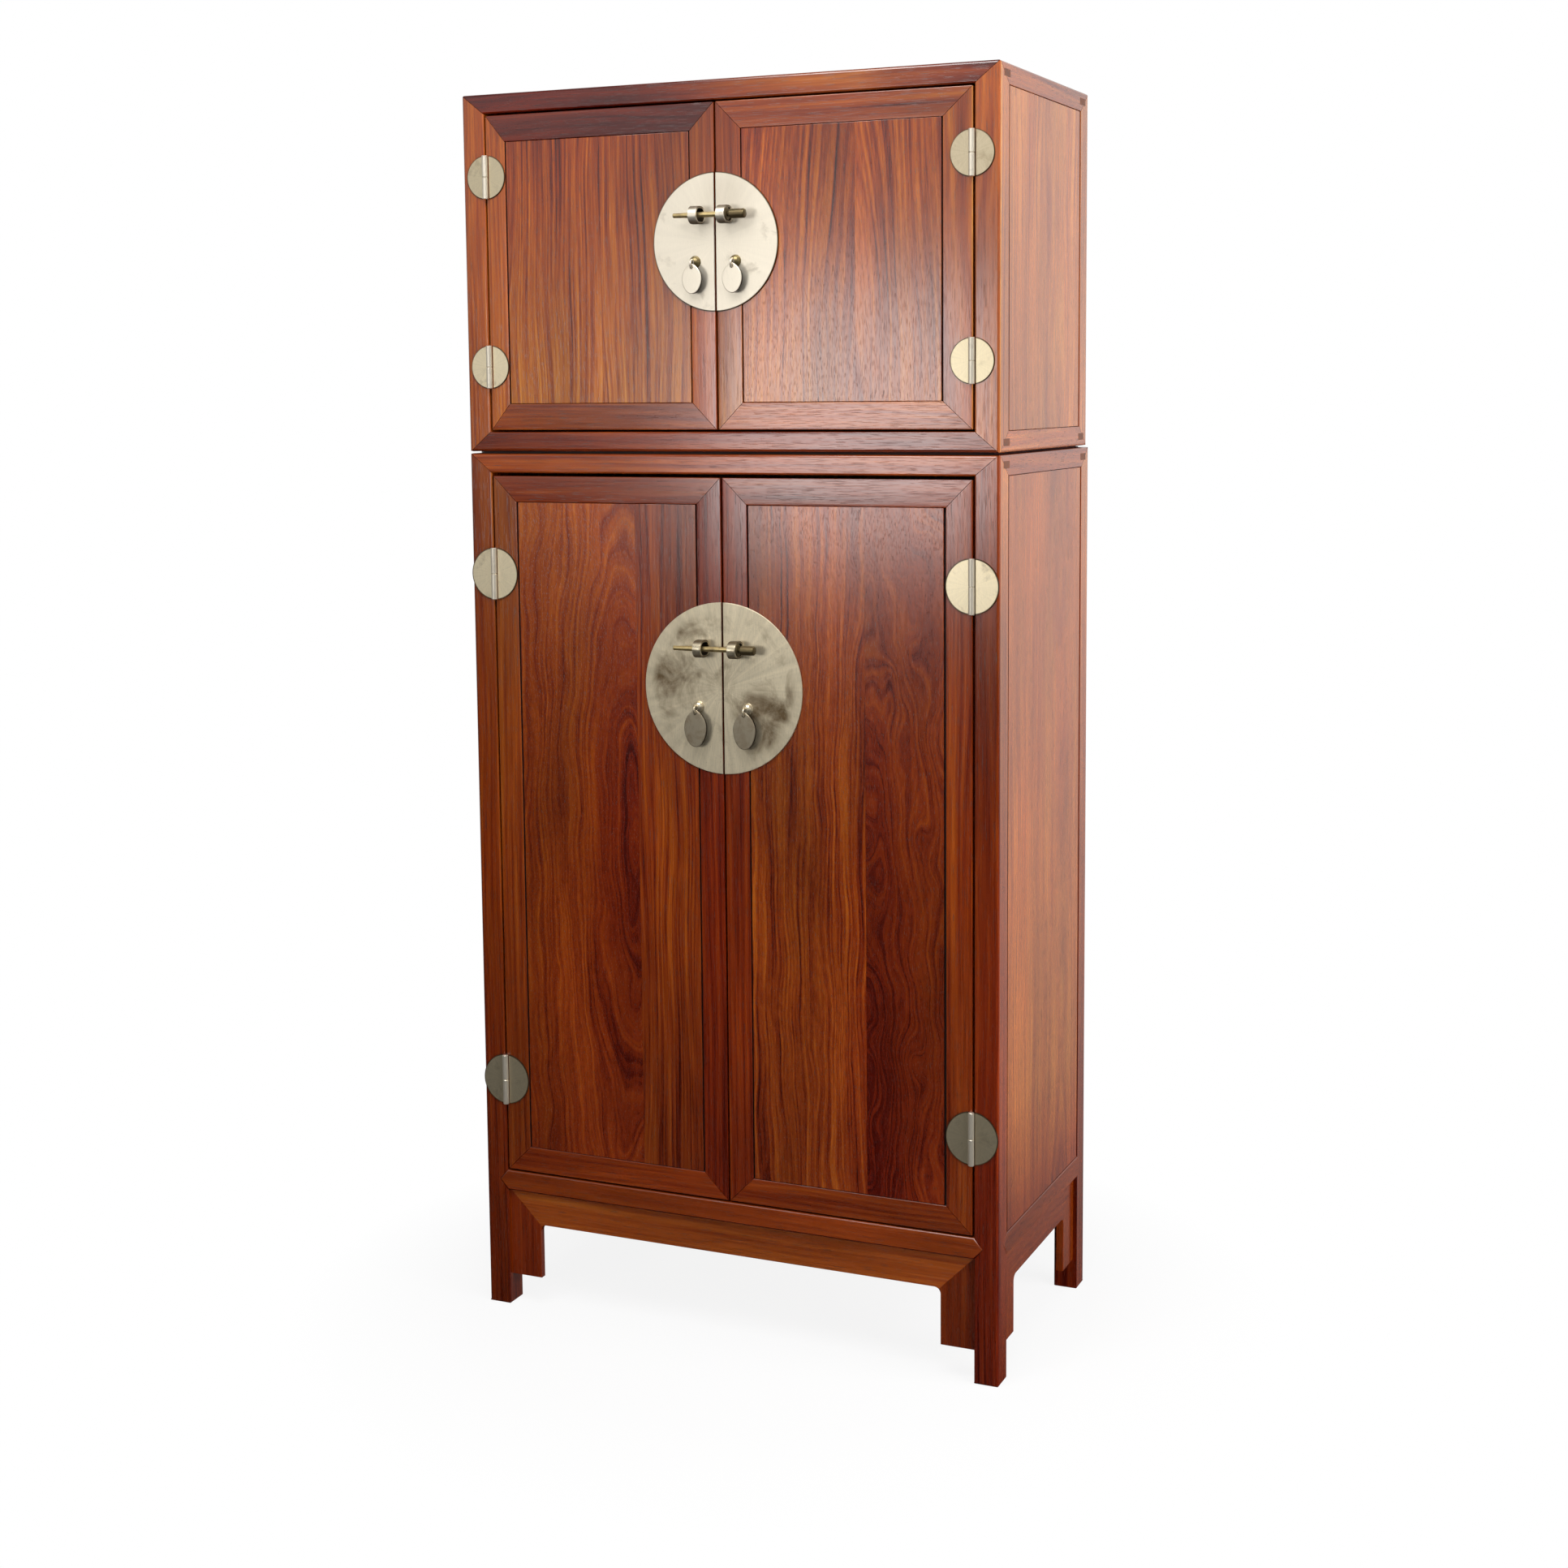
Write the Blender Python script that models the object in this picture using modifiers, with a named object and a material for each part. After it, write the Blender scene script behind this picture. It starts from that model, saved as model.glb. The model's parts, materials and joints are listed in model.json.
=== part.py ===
"""Compound cabinet: a chest on a two-door cabinet, framed and panelled in rosewood, with brass fittings.

Metres, +Z up. X runs along the front from left to right, Y from front to back, and Z = 0 is the floor.
Seen from the front, the left side is at -X. The origin is the middle of the overall footprint.
"""

import math
from collections import namedtuple

import bmesh
import bpy
from mathutils import Matrix, Vector

PART_COLLECTION = "compound_cabinet"
CUTTER_COLLECTION = "compound_cabinet_cutters"

# Cases
WIDTH = 1.060
LOWER_DEPTH = 0.545
UPPER_DEPTH = 0.529
LOWER_HEIGHT = 1.682
UPPER_HEIGHT = 0.666

# Posts and rails
POST_WIDTH = 0.0465
POST_DEPTH = 0.048
UPPER_TOP_RAIL = 0.0365
CASE_RAIL = 0.0385
BASE_RAIL = 0.040
BASE_RAIL_Z = 0.234
BASE_RAIL_EXTRA_WIDTH = 0.014
ARROW_LENGTH = 0.017
ARROW_DEPTH = 0.014

# Clearances
FIT = 0.0003
DOOR_GAP = 0.0035
LOWER_DOOR_TOP_GAP = 0.006
PANEL_GAP = 0.0005
CORNER_RUN_OUT = 0.009

# Panels
TONGUE = 0.008
TONGUE_THICKNESS = 0.006
PANEL_FACE_RISE = 0.004
PANEL_BACK_RISE = 0.003
PANEL_SET_BACK = 0.001
SHELF_THICKNESS = 0.018
SHELF_ABOVE_RAIL = 0.686
SHELF_HOUSING = 0.008

# Aprons and their mitred spandrels
APRON_THICKNESS = 0.014
APRON_SET_BACK = 0.008
APRON_HEIGHT = 0.066
SPANDREL_HEIGHT = 0.174
SPANDREL_WIDTH = 0.067
APRON_CORNER_RADIUS = 0.012
APRON_TONGUE = 0.006
ARC_STEPS = 6

# Doors
DOOR_THICKNESS = 0.022
DOOR_RAIL = 0.049
MEETING_STILE = 0.0485
LOWER_OUTER_STILE = 0.049
UPPER_LEFT_OUTER_STILE = 0.040
UPPER_RIGHT_OUTER_STILE = 0.054
UPPER_SEAM_X = -0.007
LOWER_SEAM_X = -0.002

# Hinges
LOWER_HINGE_DIAMETER = 0.099
UPPER_HINGE_DIAMETER = 0.081
HINGE_LEAF_THICKNESS = 0.002
KNUCKLE_RADIUS = 0.005
KNUCKLE_GAP = 0.0006
PIN_RADIUS = 0.002
LOWER_HINGE_FROM_TOP = 0.192
LOWER_HINGE_FROM_BOTTOM = 0.185
UPPER_HINGE_FROM_TOP = 0.1165
UPPER_HINGE_FROM_BOTTOM = 0.122

# Lock plates and their staples
PLATE_THICKNESS = 0.002
LOWER_PLATE_DIAMETER = 0.318
UPPER_PLATE_DIAMETER = 0.248
LOWER_PLATE_ABOVE_RAIL = 0.977
UPPER_PLATE_ABOVE_RAIL = 0.340
STAPLE_DEPTH = 0.040
STAPLE_HEIGHT = 0.032
STAPLE_WIDTH = 0.0165
STAPLE_WALL = 0.0045
LOWER_STAPLE_FROM_SEAM = 0.0345
UPPER_STAPLE_FROM_SEAM = 0.0275
LOWER_STAPLE_RISE = 0.075
UPPER_STAPLE_RISE = 0.047

# Bolts
BOLT_ROD_RADIUS = 0.0042
BOLT_TAIL_RADIUS = 0.0032
BOLT_STUB_RADIUS = 0.0075
BOLT_COLLAR_CLEARANCE = 0.0004
BOLT_COLLAR_OVERHANG = 0.0015
LOWER_BOLT_TAIL = 0.0875
LOWER_BOLT_STUB = 0.076
UPPER_BOLT_TAIL = 0.071
UPPER_BOLT_STUB = 0.071

# Pulls
BOSS_RADIUS = 0.011
BOSS_HEIGHT = 0.009
LOOP_RADIUS = 0.0070
LOOP_WIRE_RADIUS = 0.0020
LOOP_SINK = 0.0020
LOOP_DROP = 0.004
LOWER_BOSS_FROM_SEAM = 0.0495
UPPER_BOSS_FROM_SEAM = 0.040
LOWER_BOSS_DROP = 0.0355
UPPER_BOSS_DROP = 0.0347
PENDANT_THICKNESS = 0.006
PENDANT_TIP_RISE = 0.0008
PENDANT_HOLE_RADIUS = 0.0034
PENDANT_PINCH = 0.55
LOWER_PENDANT_LENGTH = 0.070
LOWER_PENDANT_WIDTH = 0.045
UPPER_PENDANT_LENGTH = 0.054
UPPER_PENDANT_WIDTH = 0.039

# Facets, and the distance within which points are one
DISC_SIDES = 48
KNUCKLE_SIDES = 16
PIN_SIDES = 12
PENDANT_STEPS = 18
HOLE_STEPS = 12
SMOOTH_ANGLE = math.radians(35.0)
MERGE_DISTANCE = 0.00001

# Places that follow from the sizes
HARDWARE_PROUD = FIT + PLATE_THICKNESS + STAPLE_DEPTH
FRONT_Y = (HARDWARE_PROUD - LOWER_DEPTH) / 2
SIDE_X = WIDTH / 2
POST_INNER_X = SIDE_X - POST_WIDTH
DOOR_EDGE_X = POST_INNER_X - DOOR_GAP
HINGE_AXIS_Y = FRONT_Y - FIT - KNUCKLE_RADIUS
APRON_BOTTOM_Z = BASE_RAIL_Z - APRON_HEIGHT
SPANDREL_BOTTOM_Z = BASE_RAIL_Z - SPANDREL_HEIGHT

Case = namedtuple("Case", "name bottom top back base_rail_z base_rail_top top_rail_z pointed_base")
Axis = namedtuple("Axis", "empty point")

LOWER = Case("lower", 0.0, LOWER_HEIGHT, FRONT_Y + LOWER_DEPTH, BASE_RAIL_Z, BASE_RAIL_Z + BASE_RAIL,
             LOWER_HEIGHT - CASE_RAIL, False)
UPPER_BOTTOM = LOWER_HEIGHT + FIT
UPPER_TOP = UPPER_BOTTOM + UPPER_HEIGHT
UPPER = Case("upper", UPPER_BOTTOM, UPPER_TOP, FRONT_Y + UPPER_DEPTH, UPPER_BOTTOM,
             UPPER_BOTTOM + CASE_RAIL, UPPER_TOP - UPPER_TOP_RAIL, True)

# Turns that stand a flat piece's face towards the front, the back, the right or the left
FACE_FRONT = (math.pi / 2, 0.0, 0.0)
FACE_BACK = (math.pi / 2, 0.0, math.pi)
FACE_RIGHT = (math.pi / 2, 0.0, math.pi / 2)
FACE_LEFT = (math.pi / 2, 0.0, -math.pi / 2)
FACE_UP = (0.0, 0.0, 0.0)

# Finish of each kind of piece: colour, roughness and metallic value
FINISHES = {
    "frame_wood": ((0.155, 0.050, 0.022), 0.32, 0.0),
    "panel_wood": ((0.230, 0.075, 0.024), 0.30, 0.0),
    "inner_wood": ((0.200, 0.095, 0.045), 0.55, 0.0),
    "pale_brass": ((0.760, 0.670, 0.480), 0.28, 1.0),
    "dull_brass": ((0.480, 0.420, 0.310), 0.42, 1.0),
    "bolt_brass": ((0.420, 0.320, 0.180), 0.40, 1.0),
}


def start_scene():
    """Remove what is there and make the two collections."""
    for old in list(bpy.data.objects):
        bpy.data.objects.remove(old, do_unlink=True)
    for name in (PART_COLLECTION, CUTTER_COLLECTION):
        collection = bpy.data.collections.new(name)
        bpy.context.scene.collection.children.link(collection)


def finish_material(name, kind):
    """A plain Principled material with the colour, roughness and metallic value of its kind."""
    colour, roughness, metallic = FINISHES[kind]
    material = bpy.data.materials.new(f"{name}_finish")
    material.use_nodes = True
    shader = material.node_tree.nodes["Principled BSDF"]
    shader.inputs["Base Color"].default_value = (*colour, 1.0)
    shader.inputs["Roughness"].default_value = roughness
    shader.inputs["Metallic"].default_value = metallic
    return material


def add_axis(name, point, parent=None):
    """An empty on a joint's axis, which carries the pieces that move with it."""
    empty = bpy.data.objects.new(name, None)
    empty.location = Vector(point) - (parent.point if parent else Vector())
    empty.parent = parent.empty if parent else None
    bpy.data.collections[PART_COLLECTION].objects.link(empty)
    return Axis(empty, Vector(point))


def add_part(name, mesh, place, kind, turn=FACE_UP, axis=None):
    """A named piece at its place in the world, carried by the axis that it moves with."""
    part = bpy.data.objects.new(name, mesh)
    part.location = Vector(place) - (axis.point if axis else Vector())
    part.rotation_euler = turn
    part.parent = axis.empty if axis else None
    if not mesh.materials:
        mesh.materials.append(finish_material(name, kind))
    bpy.data.collections[PART_COLLECTION].objects.link(part)
    return part


def add_tool(name, mesh, place=(0.0, 0.0, 0.0), turn=FACE_UP):
    """A hidden shape that other pieces are cut by or joined with."""
    tool = bpy.data.objects.new(f"{name}_tool", mesh)
    tool.location = place
    tool.rotation_euler = turn
    tool.hide_render = True
    tool.display_type = "WIRE"
    bpy.data.collections[CUTTER_COLLECTION].objects.link(tool)
    return tool


def combine(part, tool, operation):
    modifier = part.modifiers.new(tool.name, "BOOLEAN")
    modifier.object = tool
    modifier.operation = operation
    modifier.solver = "EXACT"


def cut(parts, tool):
    for part in parts:
        combine(part, tool, "DIFFERENCE")


def join(part, tool):
    combine(part, tool, "UNION")


def mesh_from(bm, name):
    bmesh.ops.recalc_face_normals(bm, faces=bm.faces)
    mesh = bpy.data.meshes.new(name)
    bm.to_mesh(mesh)
    bm.free()
    return mesh


def box_mesh(name, size):
    bm = bmesh.new()
    bmesh.ops.create_cube(bm, size=1.0, matrix=Matrix.Diagonal((*size, 1.0)))
    return mesh_from(bm, name)


def box_between(low, high):
    """The size and the middle of a box, from two opposite corners."""
    low, high = Vector(low), Vector(high)
    return high - low, (low + high) / 2


def box_part(name, low, high, kind, axis=None):
    size, middle = box_between(low, high)
    return add_part(name, box_mesh(name, size), middle, kind, axis=axis)


def box_tool(name, low, high):
    size, middle = box_between(low, high)
    return add_tool(name, box_mesh(name, size), middle)


def cylinder_tool(name, radius, low, high, sides, along):
    """A cylinder between two heights on the axis that the turn `along` lays it on."""
    bm = bmesh.new()
    lift = Matrix.Translation((0.0, 0.0, (low + high) / 2))
    half_side = Matrix.Rotation(math.pi / sides, 4, "Z")
    bmesh.ops.create_cone(bm, cap_ends=True, segments=sides, radius1=radius, radius2=radius,
                          depth=high - low, matrix=along @ lift @ half_side)
    return add_tool(name, mesh_from(bm, name))


def arc_points(centre, radius, start, end, steps):
    """Points on a round stretch of an outline, from one angle to another."""
    angles = [start + (end - start) * step / steps for step in range(steps + 1)]
    return [(centre[0] + radius * math.cos(a), centre[1] + radius * math.sin(a)) for a in angles]


def outline_mesh(name, loops, thickness):
    """A flat outline, with any holes, filled and given a thickness."""
    curve = bpy.data.curves.new(name, "CURVE")
    curve.dimensions = "2D"
    curve.fill_mode = "BOTH"
    curve.extrude = thickness / 2
    for loop in loops:
        spline = curve.splines.new("POLY")
        spline.points.add(len(loop) - 1)
        for point, (a, b) in zip(spline.points, loop):
            point.co = (a, b, 0.0, 1.0)
        spline.use_cyclic_u = True
    flat = bpy.data.objects.new(name, curve)
    bpy.context.scene.collection.objects.link(flat)
    graph = bpy.context.evaluated_depsgraph_get()
    raw = bpy.data.meshes.new_from_object(flat.evaluated_get(graph))
    bm = bmesh.new()
    bm.from_mesh(raw)
    bmesh.ops.remove_doubles(bm, verts=bm.verts, dist=MERGE_DISTANCE)
    bpy.data.objects.remove(flat, do_unlink=True)
    bpy.data.curves.remove(curve)
    bpy.data.meshes.remove(raw)
    return mesh_from(bm, name)


def bake(part):
    """The mesh of a piece with its cuts and joins made, so that copies can share it."""
    graph = bpy.context.evaluated_depsgraph_get()
    mesh = bpy.data.meshes.new_from_object(part.evaluated_get(graph))
    tools = [modifier.object for modifier in part.modifiers]
    for done in (part, *tools):
        bpy.data.objects.remove(done, do_unlink=True)
    mesh.shade_smooth()
    mesh.set_sharp_from_angle(angle=SMOOTH_ANGLE)
    return mesh


def pointed_post_mesh(name, width, depth, low, high, tip_low, tip_high, side, end):
    """A post whose ends run to a point at its outer arris, as a three-way mitre leaves it.

    The outer arris stands on the local origin. A tip of None leaves that end square.
    """
    bm = bmesh.new()
    size, middle = box_between((0.0, 0.0, low), (-side * width, -end * depth, high))
    matrix = Matrix.Translation(middle) @ Matrix.Diagonal((abs(size.x), abs(size.y), size.z, 1.0))
    bmesh.ops.create_cube(bm, size=1.0, matrix=matrix)
    bm.faces.ensure_lookup_table()
    by_height = sorted(bm.faces, key=lambda face: face.calc_center_median().z)
    for face, tip in ((by_height[0], tip_low), (by_height[-1], tip_high)):
        if tip is not None:
            poked = bmesh.ops.poke(bm, faces=[face])
            poked["verts"][0].co = (0.0, 0.0, tip)
    return mesh_from(bm, name)


def corner_tool(name, case, side, end, rail_z, rail_end):
    """The shape of a post's pointed end, clear of it by the fit and carried out past the corner."""
    height = abs(rail_end - rail_z)
    past = CORNER_RUN_OUT
    scale = (height + past + 3 * FIT) / height
    up = math.copysign(1.0, rail_end - rail_z)
    shaft_end = rail_z - up * FIT
    tip = rail_end + up * (past + 2 * FIT)
    low, high = sorted((rail_z - up * height, shaft_end))
    tips = (None, tip) if up > 0 else (tip, None)
    mesh = pointed_post_mesh(name, POST_WIDTH * scale, POST_DEPTH * scale, low, high, *tips, side, end)
    outer_y = FRONT_Y if end < 0 else case.back
    out_x = POST_WIDTH * past / height
    out_y = POST_DEPTH * past / height
    return add_tool(name, mesh, (side * (SIDE_X + out_x), outer_y + end * out_y, 0.0))


def corners(case):
    """Side, end, name and outer corner of each of a case's four posts."""
    for end, end_name, y in ((-1, "front", FRONT_Y), (1, "back", case.back)):
        for side, side_name in ((-1, "left"), (1, "right")):
            yield side, end, f"{end_name}_{side_name}", (side * SIDE_X, y, 0.0)


def make_posts(case, axis):
    posts = {}
    for side, end, corner, place in corners(case):
        name = f"{case.name}_post_{corner}"
        low = case.base_rail_top if case.pointed_base else case.bottom
        tip_low = case.bottom if case.pointed_base else None
        mesh = pointed_post_mesh(name, POST_WIDTH, POST_DEPTH, low, case.top_rail_z, tip_low, case.top,
                                 side, end)
        lifted = Matrix.Translation((0.0, 0.0, -case.bottom))
        mesh.transform(lifted)
        posts[corner] = add_part(name, mesh, (*place[:2], case.bottom), "frame_wood", axis=axis)
    return posts


def ring_part(name, case, z_low, z_high, rail_width, rail_depth, axis):
    """Four rails in one frame, round an opening."""
    ring = box_part(name, (-SIDE_X, FRONT_Y, z_low), (SIDE_X, case.back, z_high), "frame_wood", axis)
    clear = z_high - z_low
    hole = box_tool(f"{name}_opening", (rail_width - SIDE_X, FRONT_Y + rail_depth, z_low - clear),
                    (SIDE_X - rail_width, case.back - rail_depth, z_high + clear))
    cut([ring], hole)
    return ring


def mitred_frame(name, case, inner_z, outer_z, axis):
    """A frame at the top or bottom of a case, notched at its corners for the pointed posts."""
    z_low, z_high = sorted((inner_z, outer_z))
    ring = ring_part(name, case, z_low, z_high, POST_WIDTH, POST_DEPTH, axis)
    for side, end, corner, _ in corners(case):
        cut([ring], corner_tool(f"{name}_{corner}", case, side, end, inner_z, outer_z))
    return ring


def arrow_mesh(name, half_length, grow):
    """A rail's face board with pointed ends, grown by a clearance where it is a cutter."""
    half_height = BASE_RAIL / 2 + grow
    tip = half_length + ARROW_LENGTH + grow
    shoulder = half_length + grow
    outline = [(-tip, 0.0), (-shoulder, -half_height), (shoulder, -half_height),
               (tip, 0.0), (shoulder, half_height), (-shoulder, half_height)]
    return outline_mesh(name, [outline], ARROW_DEPTH + 2 * grow)


def make_base_frame(posts):
    """The lower cabinet's base rails, with arrow ends let into the posts at the front and the sides."""
    extra = BASE_RAIL_EXTRA_WIDTH
    frame = ring_part("lower_base_frame", LOWER, LOWER.base_rail_z, LOWER.base_rail_top,
                      POST_WIDTH + extra, POST_DEPTH + extra, None)
    for side, end, corner, (x, y, _) in corners(LOWER):
        inner = (x - side * (POST_WIDTH + FIT), y - end * (POST_DEPTH + FIT), LOWER.base_rail_z - extra)
        outer = (x + side * extra, y + end * extra, LOWER.base_rail_top + extra)
        low = [min(pair) for pair in zip(inner, outer)]
        high = [max(pair) for pair in zip(inner, outer)]
        cut([frame], box_tool(f"base_frame_{corner}", low, high))
    middle_y = (FRONT_Y + LOWER.back) / 2
    middle_z = (LOWER.base_rail_z + LOWER.base_rail_top) / 2
    inset = ARROW_DEPTH / 2
    side_half = LOWER_DEPTH / 2 - POST_DEPTH
    faces = (
        ("front", (0.0, FRONT_Y + inset, middle_z), FACE_FRONT, POST_INNER_X, ("front_left", "front_right")),
        ("left", (inset - SIDE_X, middle_y, middle_z), FACE_LEFT, side_half, ("front_left", "back_left")),
        ("right", (SIDE_X - inset, middle_y, middle_z), FACE_RIGHT, side_half, ("front_right", "back_right")),
    )
    for face, place, turn, half, ends in faces:
        join(frame, add_tool(f"{face}_arrow", arrow_mesh(f"{face}_arrow", half, 0.0), place, turn))
        notch = add_tool(f"{face}_notch", arrow_mesh(f"{face}_notch", half, FIT), place, turn)
        cut([posts[corner] for corner in ends], notch)
    return frame


def turn_matrix(turn):
    """The rotation of one of the turns above, which tilt about X and then turn about Z."""
    return Matrix.Rotation(turn[2], 3, "Z") @ Matrix.Rotation(turn[0], 3, "X")


def panel_mesh(name, width, height):
    """A panel with a tongue all round, lying flat with its face up."""
    bm = bmesh.new()
    size = (width + 2 * TONGUE, height + 2 * TONGUE, TONGUE_THICKNESS, 1.0)
    bmesh.ops.create_cube(bm, size=1.0, matrix=Matrix.Diagonal(size))
    for up, rise in ((1.0, PANEL_FACE_RISE), (-1.0, PANEL_BACK_RISE)):
        bm.faces.ensure_lookup_table()
        face = max(bm.faces, key=lambda each: up * each.calc_center_median().z)
        bmesh.ops.inset_region(bm, faces=[face], thickness=TONGUE, use_even_offset=True)
        raised = bmesh.ops.extrude_discrete_faces(bm, faces=[face])["faces"]
        bmesh.ops.translate(bm, verts=raised[0].verts, vec=(0.0, 0.0, up * rise))
    return mesh_from(bm, name)


def add_panel(name, face_middle, turn, opening, kind, grooved, axis=None):
    """A panel in an opening, with its tongue in grooves cut in the pieces round it."""
    width = opening[0] - 2 * PANEL_GAP
    height = opening[1] - 2 * PANEL_GAP
    face_to_tongue = PANEL_FACE_RISE + TONGUE_THICKNESS / 2
    out = Vector((0.0, 0.0, 1.0))
    out.rotate(turn_matrix(turn))
    place = Vector(face_middle) - out * (PANEL_SET_BACK + face_to_tongue)
    groove = (width + 2 * (TONGUE + FIT), height + 2 * (TONGUE + FIT), TONGUE_THICKNESS + 2 * FIT)
    cut(grooved, add_tool(f"{name}_groove", box_mesh(f"{name}_groove", groove), place, turn))
    return add_part(name, panel_mesh(name, width, height), place, kind, turn, axis)


def make_case_panels(case, posts, top_frame, base_frame, base_margin, axis):
    """Top, floor, side and back panels of a case."""
    depth = case.back - FRONT_Y
    middle_y = (FRONT_Y + case.back) / 2
    middle_z = (case.base_rail_top + case.top_rail_z) / 2
    height = case.top_rail_z - case.base_rail_top
    name = case.name
    top_opening = (WIDTH - 2 * POST_WIDTH, depth - 2 * POST_DEPTH)
    base_opening = (top_opening[0] - 2 * base_margin, top_opening[1] - 2 * base_margin)
    side_opening = (depth - 2 * POST_DEPTH, height)
    back_opening = (WIDTH - 2 * POST_WIDTH, height)
    add_panel(f"{name}_top_panel", (0.0, middle_y, case.top), FACE_UP, top_opening, "inner_wood",
              [top_frame, *posts.values()], axis)
    add_panel(f"{name}_floor_panel", (0.0, middle_y, case.base_rail_top), FACE_UP, base_opening,
              "inner_wood", [base_frame, *posts.values()], axis)
    for side, turn in (("left", FACE_LEFT), ("right", FACE_RIGHT)):
        x = SIDE_X if side == "right" else -SIDE_X
        around = [posts[f"front_{side}"], posts[f"back_{side}"], top_frame, base_frame]
        add_panel(f"{name}_side_panel_{side}", (x, middle_y, middle_z), turn, side_opening, "panel_wood",
                  around, axis)
    around = [posts["back_left"], posts["back_right"], top_frame, base_frame]
    add_panel(f"{name}_back_panel", (0.0, case.back, middle_z), FACE_BACK, back_opening, "inner_wood",
              around, axis)


def make_shelf(posts):
    """A shelf whose corners are housed in the four posts."""
    half_x = POST_INNER_X + SHELF_HOUSING
    front = FRONT_Y + POST_DEPTH - SHELF_HOUSING
    back = LOWER.back - POST_DEPTH + SHELF_HOUSING
    top_z = LOWER.base_rail_top + SHELF_ABOVE_RAIL
    low_z = top_z - SHELF_THICKNESS
    box_part("lower_shelf", (-half_x, front, low_z), (half_x, back, top_z), "inner_wood")
    grow = Vector((FIT, FIT, FIT))
    tool = box_tool("shelf_housing", Vector((-half_x, front, low_z)) - grow,
                    Vector((half_x, back, top_z)) + grow)
    cut(posts.values(), tool)


def apron_outline(half_length):
    """An apron between two posts, with a spandrel down each post and rounded inner corners."""
    end = half_length + APRON_TONGUE
    top = BASE_RAIL_Z - FIT
    inner = half_length - SPANDREL_WIDTH
    radius = APRON_CORNER_RADIUS
    corner_z = APRON_BOTTOM_Z - radius
    right = arc_points((inner - radius, corner_z), radius, math.pi / 2, 0.0, ARC_STEPS)
    left = [(-a, b) for a, b in reversed(right)]
    foot = SPANDREL_BOTTOM_Z
    return [(-end, top), (-end, foot), (-inner, foot), *left, *right, (inner, foot), (end, foot), (end, top)]


def make_apron(name, middle, turn, half_length, ends):
    """An apron under a base rail, with its ends in grooves in the posts."""
    mesh = outline_mesh(name, [apron_outline(half_length)], APRON_THICKNESS)
    add_part(name, mesh, middle, "frame_wood", turn)
    size = (2 * (half_length + APRON_TONGUE + FIT), SPANDREL_HEIGHT + FIT, APRON_THICKNESS + 2 * FIT)
    groove_z = SPANDREL_BOTTOM_Z - FIT + size[1] / 2
    place = (middle[0], middle[1], groove_z)
    cut(ends, add_tool(f"{name}_groove", box_mesh(f"{name}_groove", size), place, turn))


def make_aprons(posts):
    inset = APRON_SET_BACK + APRON_THICKNESS / 2
    middle_y = (FRONT_Y + LOWER.back) / 2
    make_apron("front_apron", (0.0, FRONT_Y + inset, 0.0), FACE_FRONT, POST_INNER_X,
               [posts["front_left"], posts["front_right"]])
    for side, turn, x in (("left", FACE_LEFT, inset - SIDE_X), ("right", FACE_RIGHT, SIDE_X - inset)):
        make_apron(f"side_apron_{side}", (x, middle_y, 0.0), turn, LOWER_DEPTH / 2 - POST_DEPTH,
                   [posts[f"front_{side}"], posts[f"back_{side}"]])


def half_disc_mesh(name, radius, back, thickness, side, edge):
    """The half of an upright disc on one side of a vertical edge, with its back at the given y."""
    bm = bmesh.new()
    turn = Matrix.Translation((0.0, back - thickness / 2, 0.0)) @ Matrix.Rotation(math.pi / 2, 4, "X")
    bmesh.ops.create_cone(bm, cap_ends=True, segments=DISC_SIDES, radius1=radius, radius2=radius,
                          depth=thickness, matrix=turn)
    everything = [*bm.verts, *bm.edges, *bm.faces]
    halved = bmesh.ops.bisect_plane(bm, geom=everything, dist=MERGE_DISTANCE,
                                    plane_co=(side * edge, 0.0, 0.0), plane_no=(side, 0.0, 0.0),
                                    clear_inner=True)
    rim = [item for item in halved["geom_cut"] if isinstance(item, bmesh.types.BMEdge)]
    bmesh.ops.edgeloop_fill(bm, edges=rim)
    return mesh_from(bm, name)


def hinge_leaf_mesh(name, diameter, side, on_post):
    """A half-round leaf with its knuckle, and with the pin on the post's leaf.

    The local origin is on the hinge axis at mid height, and `side` is where the leaf lies from it.
    """
    radius = diameter / 2
    upright = Matrix.Identity(4)
    leaf = add_tool(name, half_disc_mesh(name, radius, KNUCKLE_RADIUS, HINGE_LEAF_THICKNESS, side, 0.0))
    half_gap = FIT / 2
    own = (-radius, -half_gap) if on_post else (half_gap, radius)
    clearance = KNUCKLE_RADIUS + KNUCKLE_GAP
    other_low, other_high = (-half_gap, radius * 2) if on_post else (-radius * 2, half_gap)
    clear = box_tool(f"{name}_clear", (-clearance, -clearance, other_low), (clearance, clearance, other_high))
    cut([leaf], clear)
    join(leaf, cylinder_tool(f"{name}_knuckle", KNUCKLE_RADIUS, *own, KNUCKLE_SIDES, upright))
    if on_post:
        join(leaf, cylinder_tool(f"{name}_pin", PIN_RADIUS, -radius / 2, radius, PIN_SIDES, upright))
    else:
        bore = PIN_RADIUS + FIT
        cut([leaf], cylinder_tool(f"{name}_bore", bore, -radius, radius * 2, PIN_SIDES, upright))
    return bake(leaf)


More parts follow.
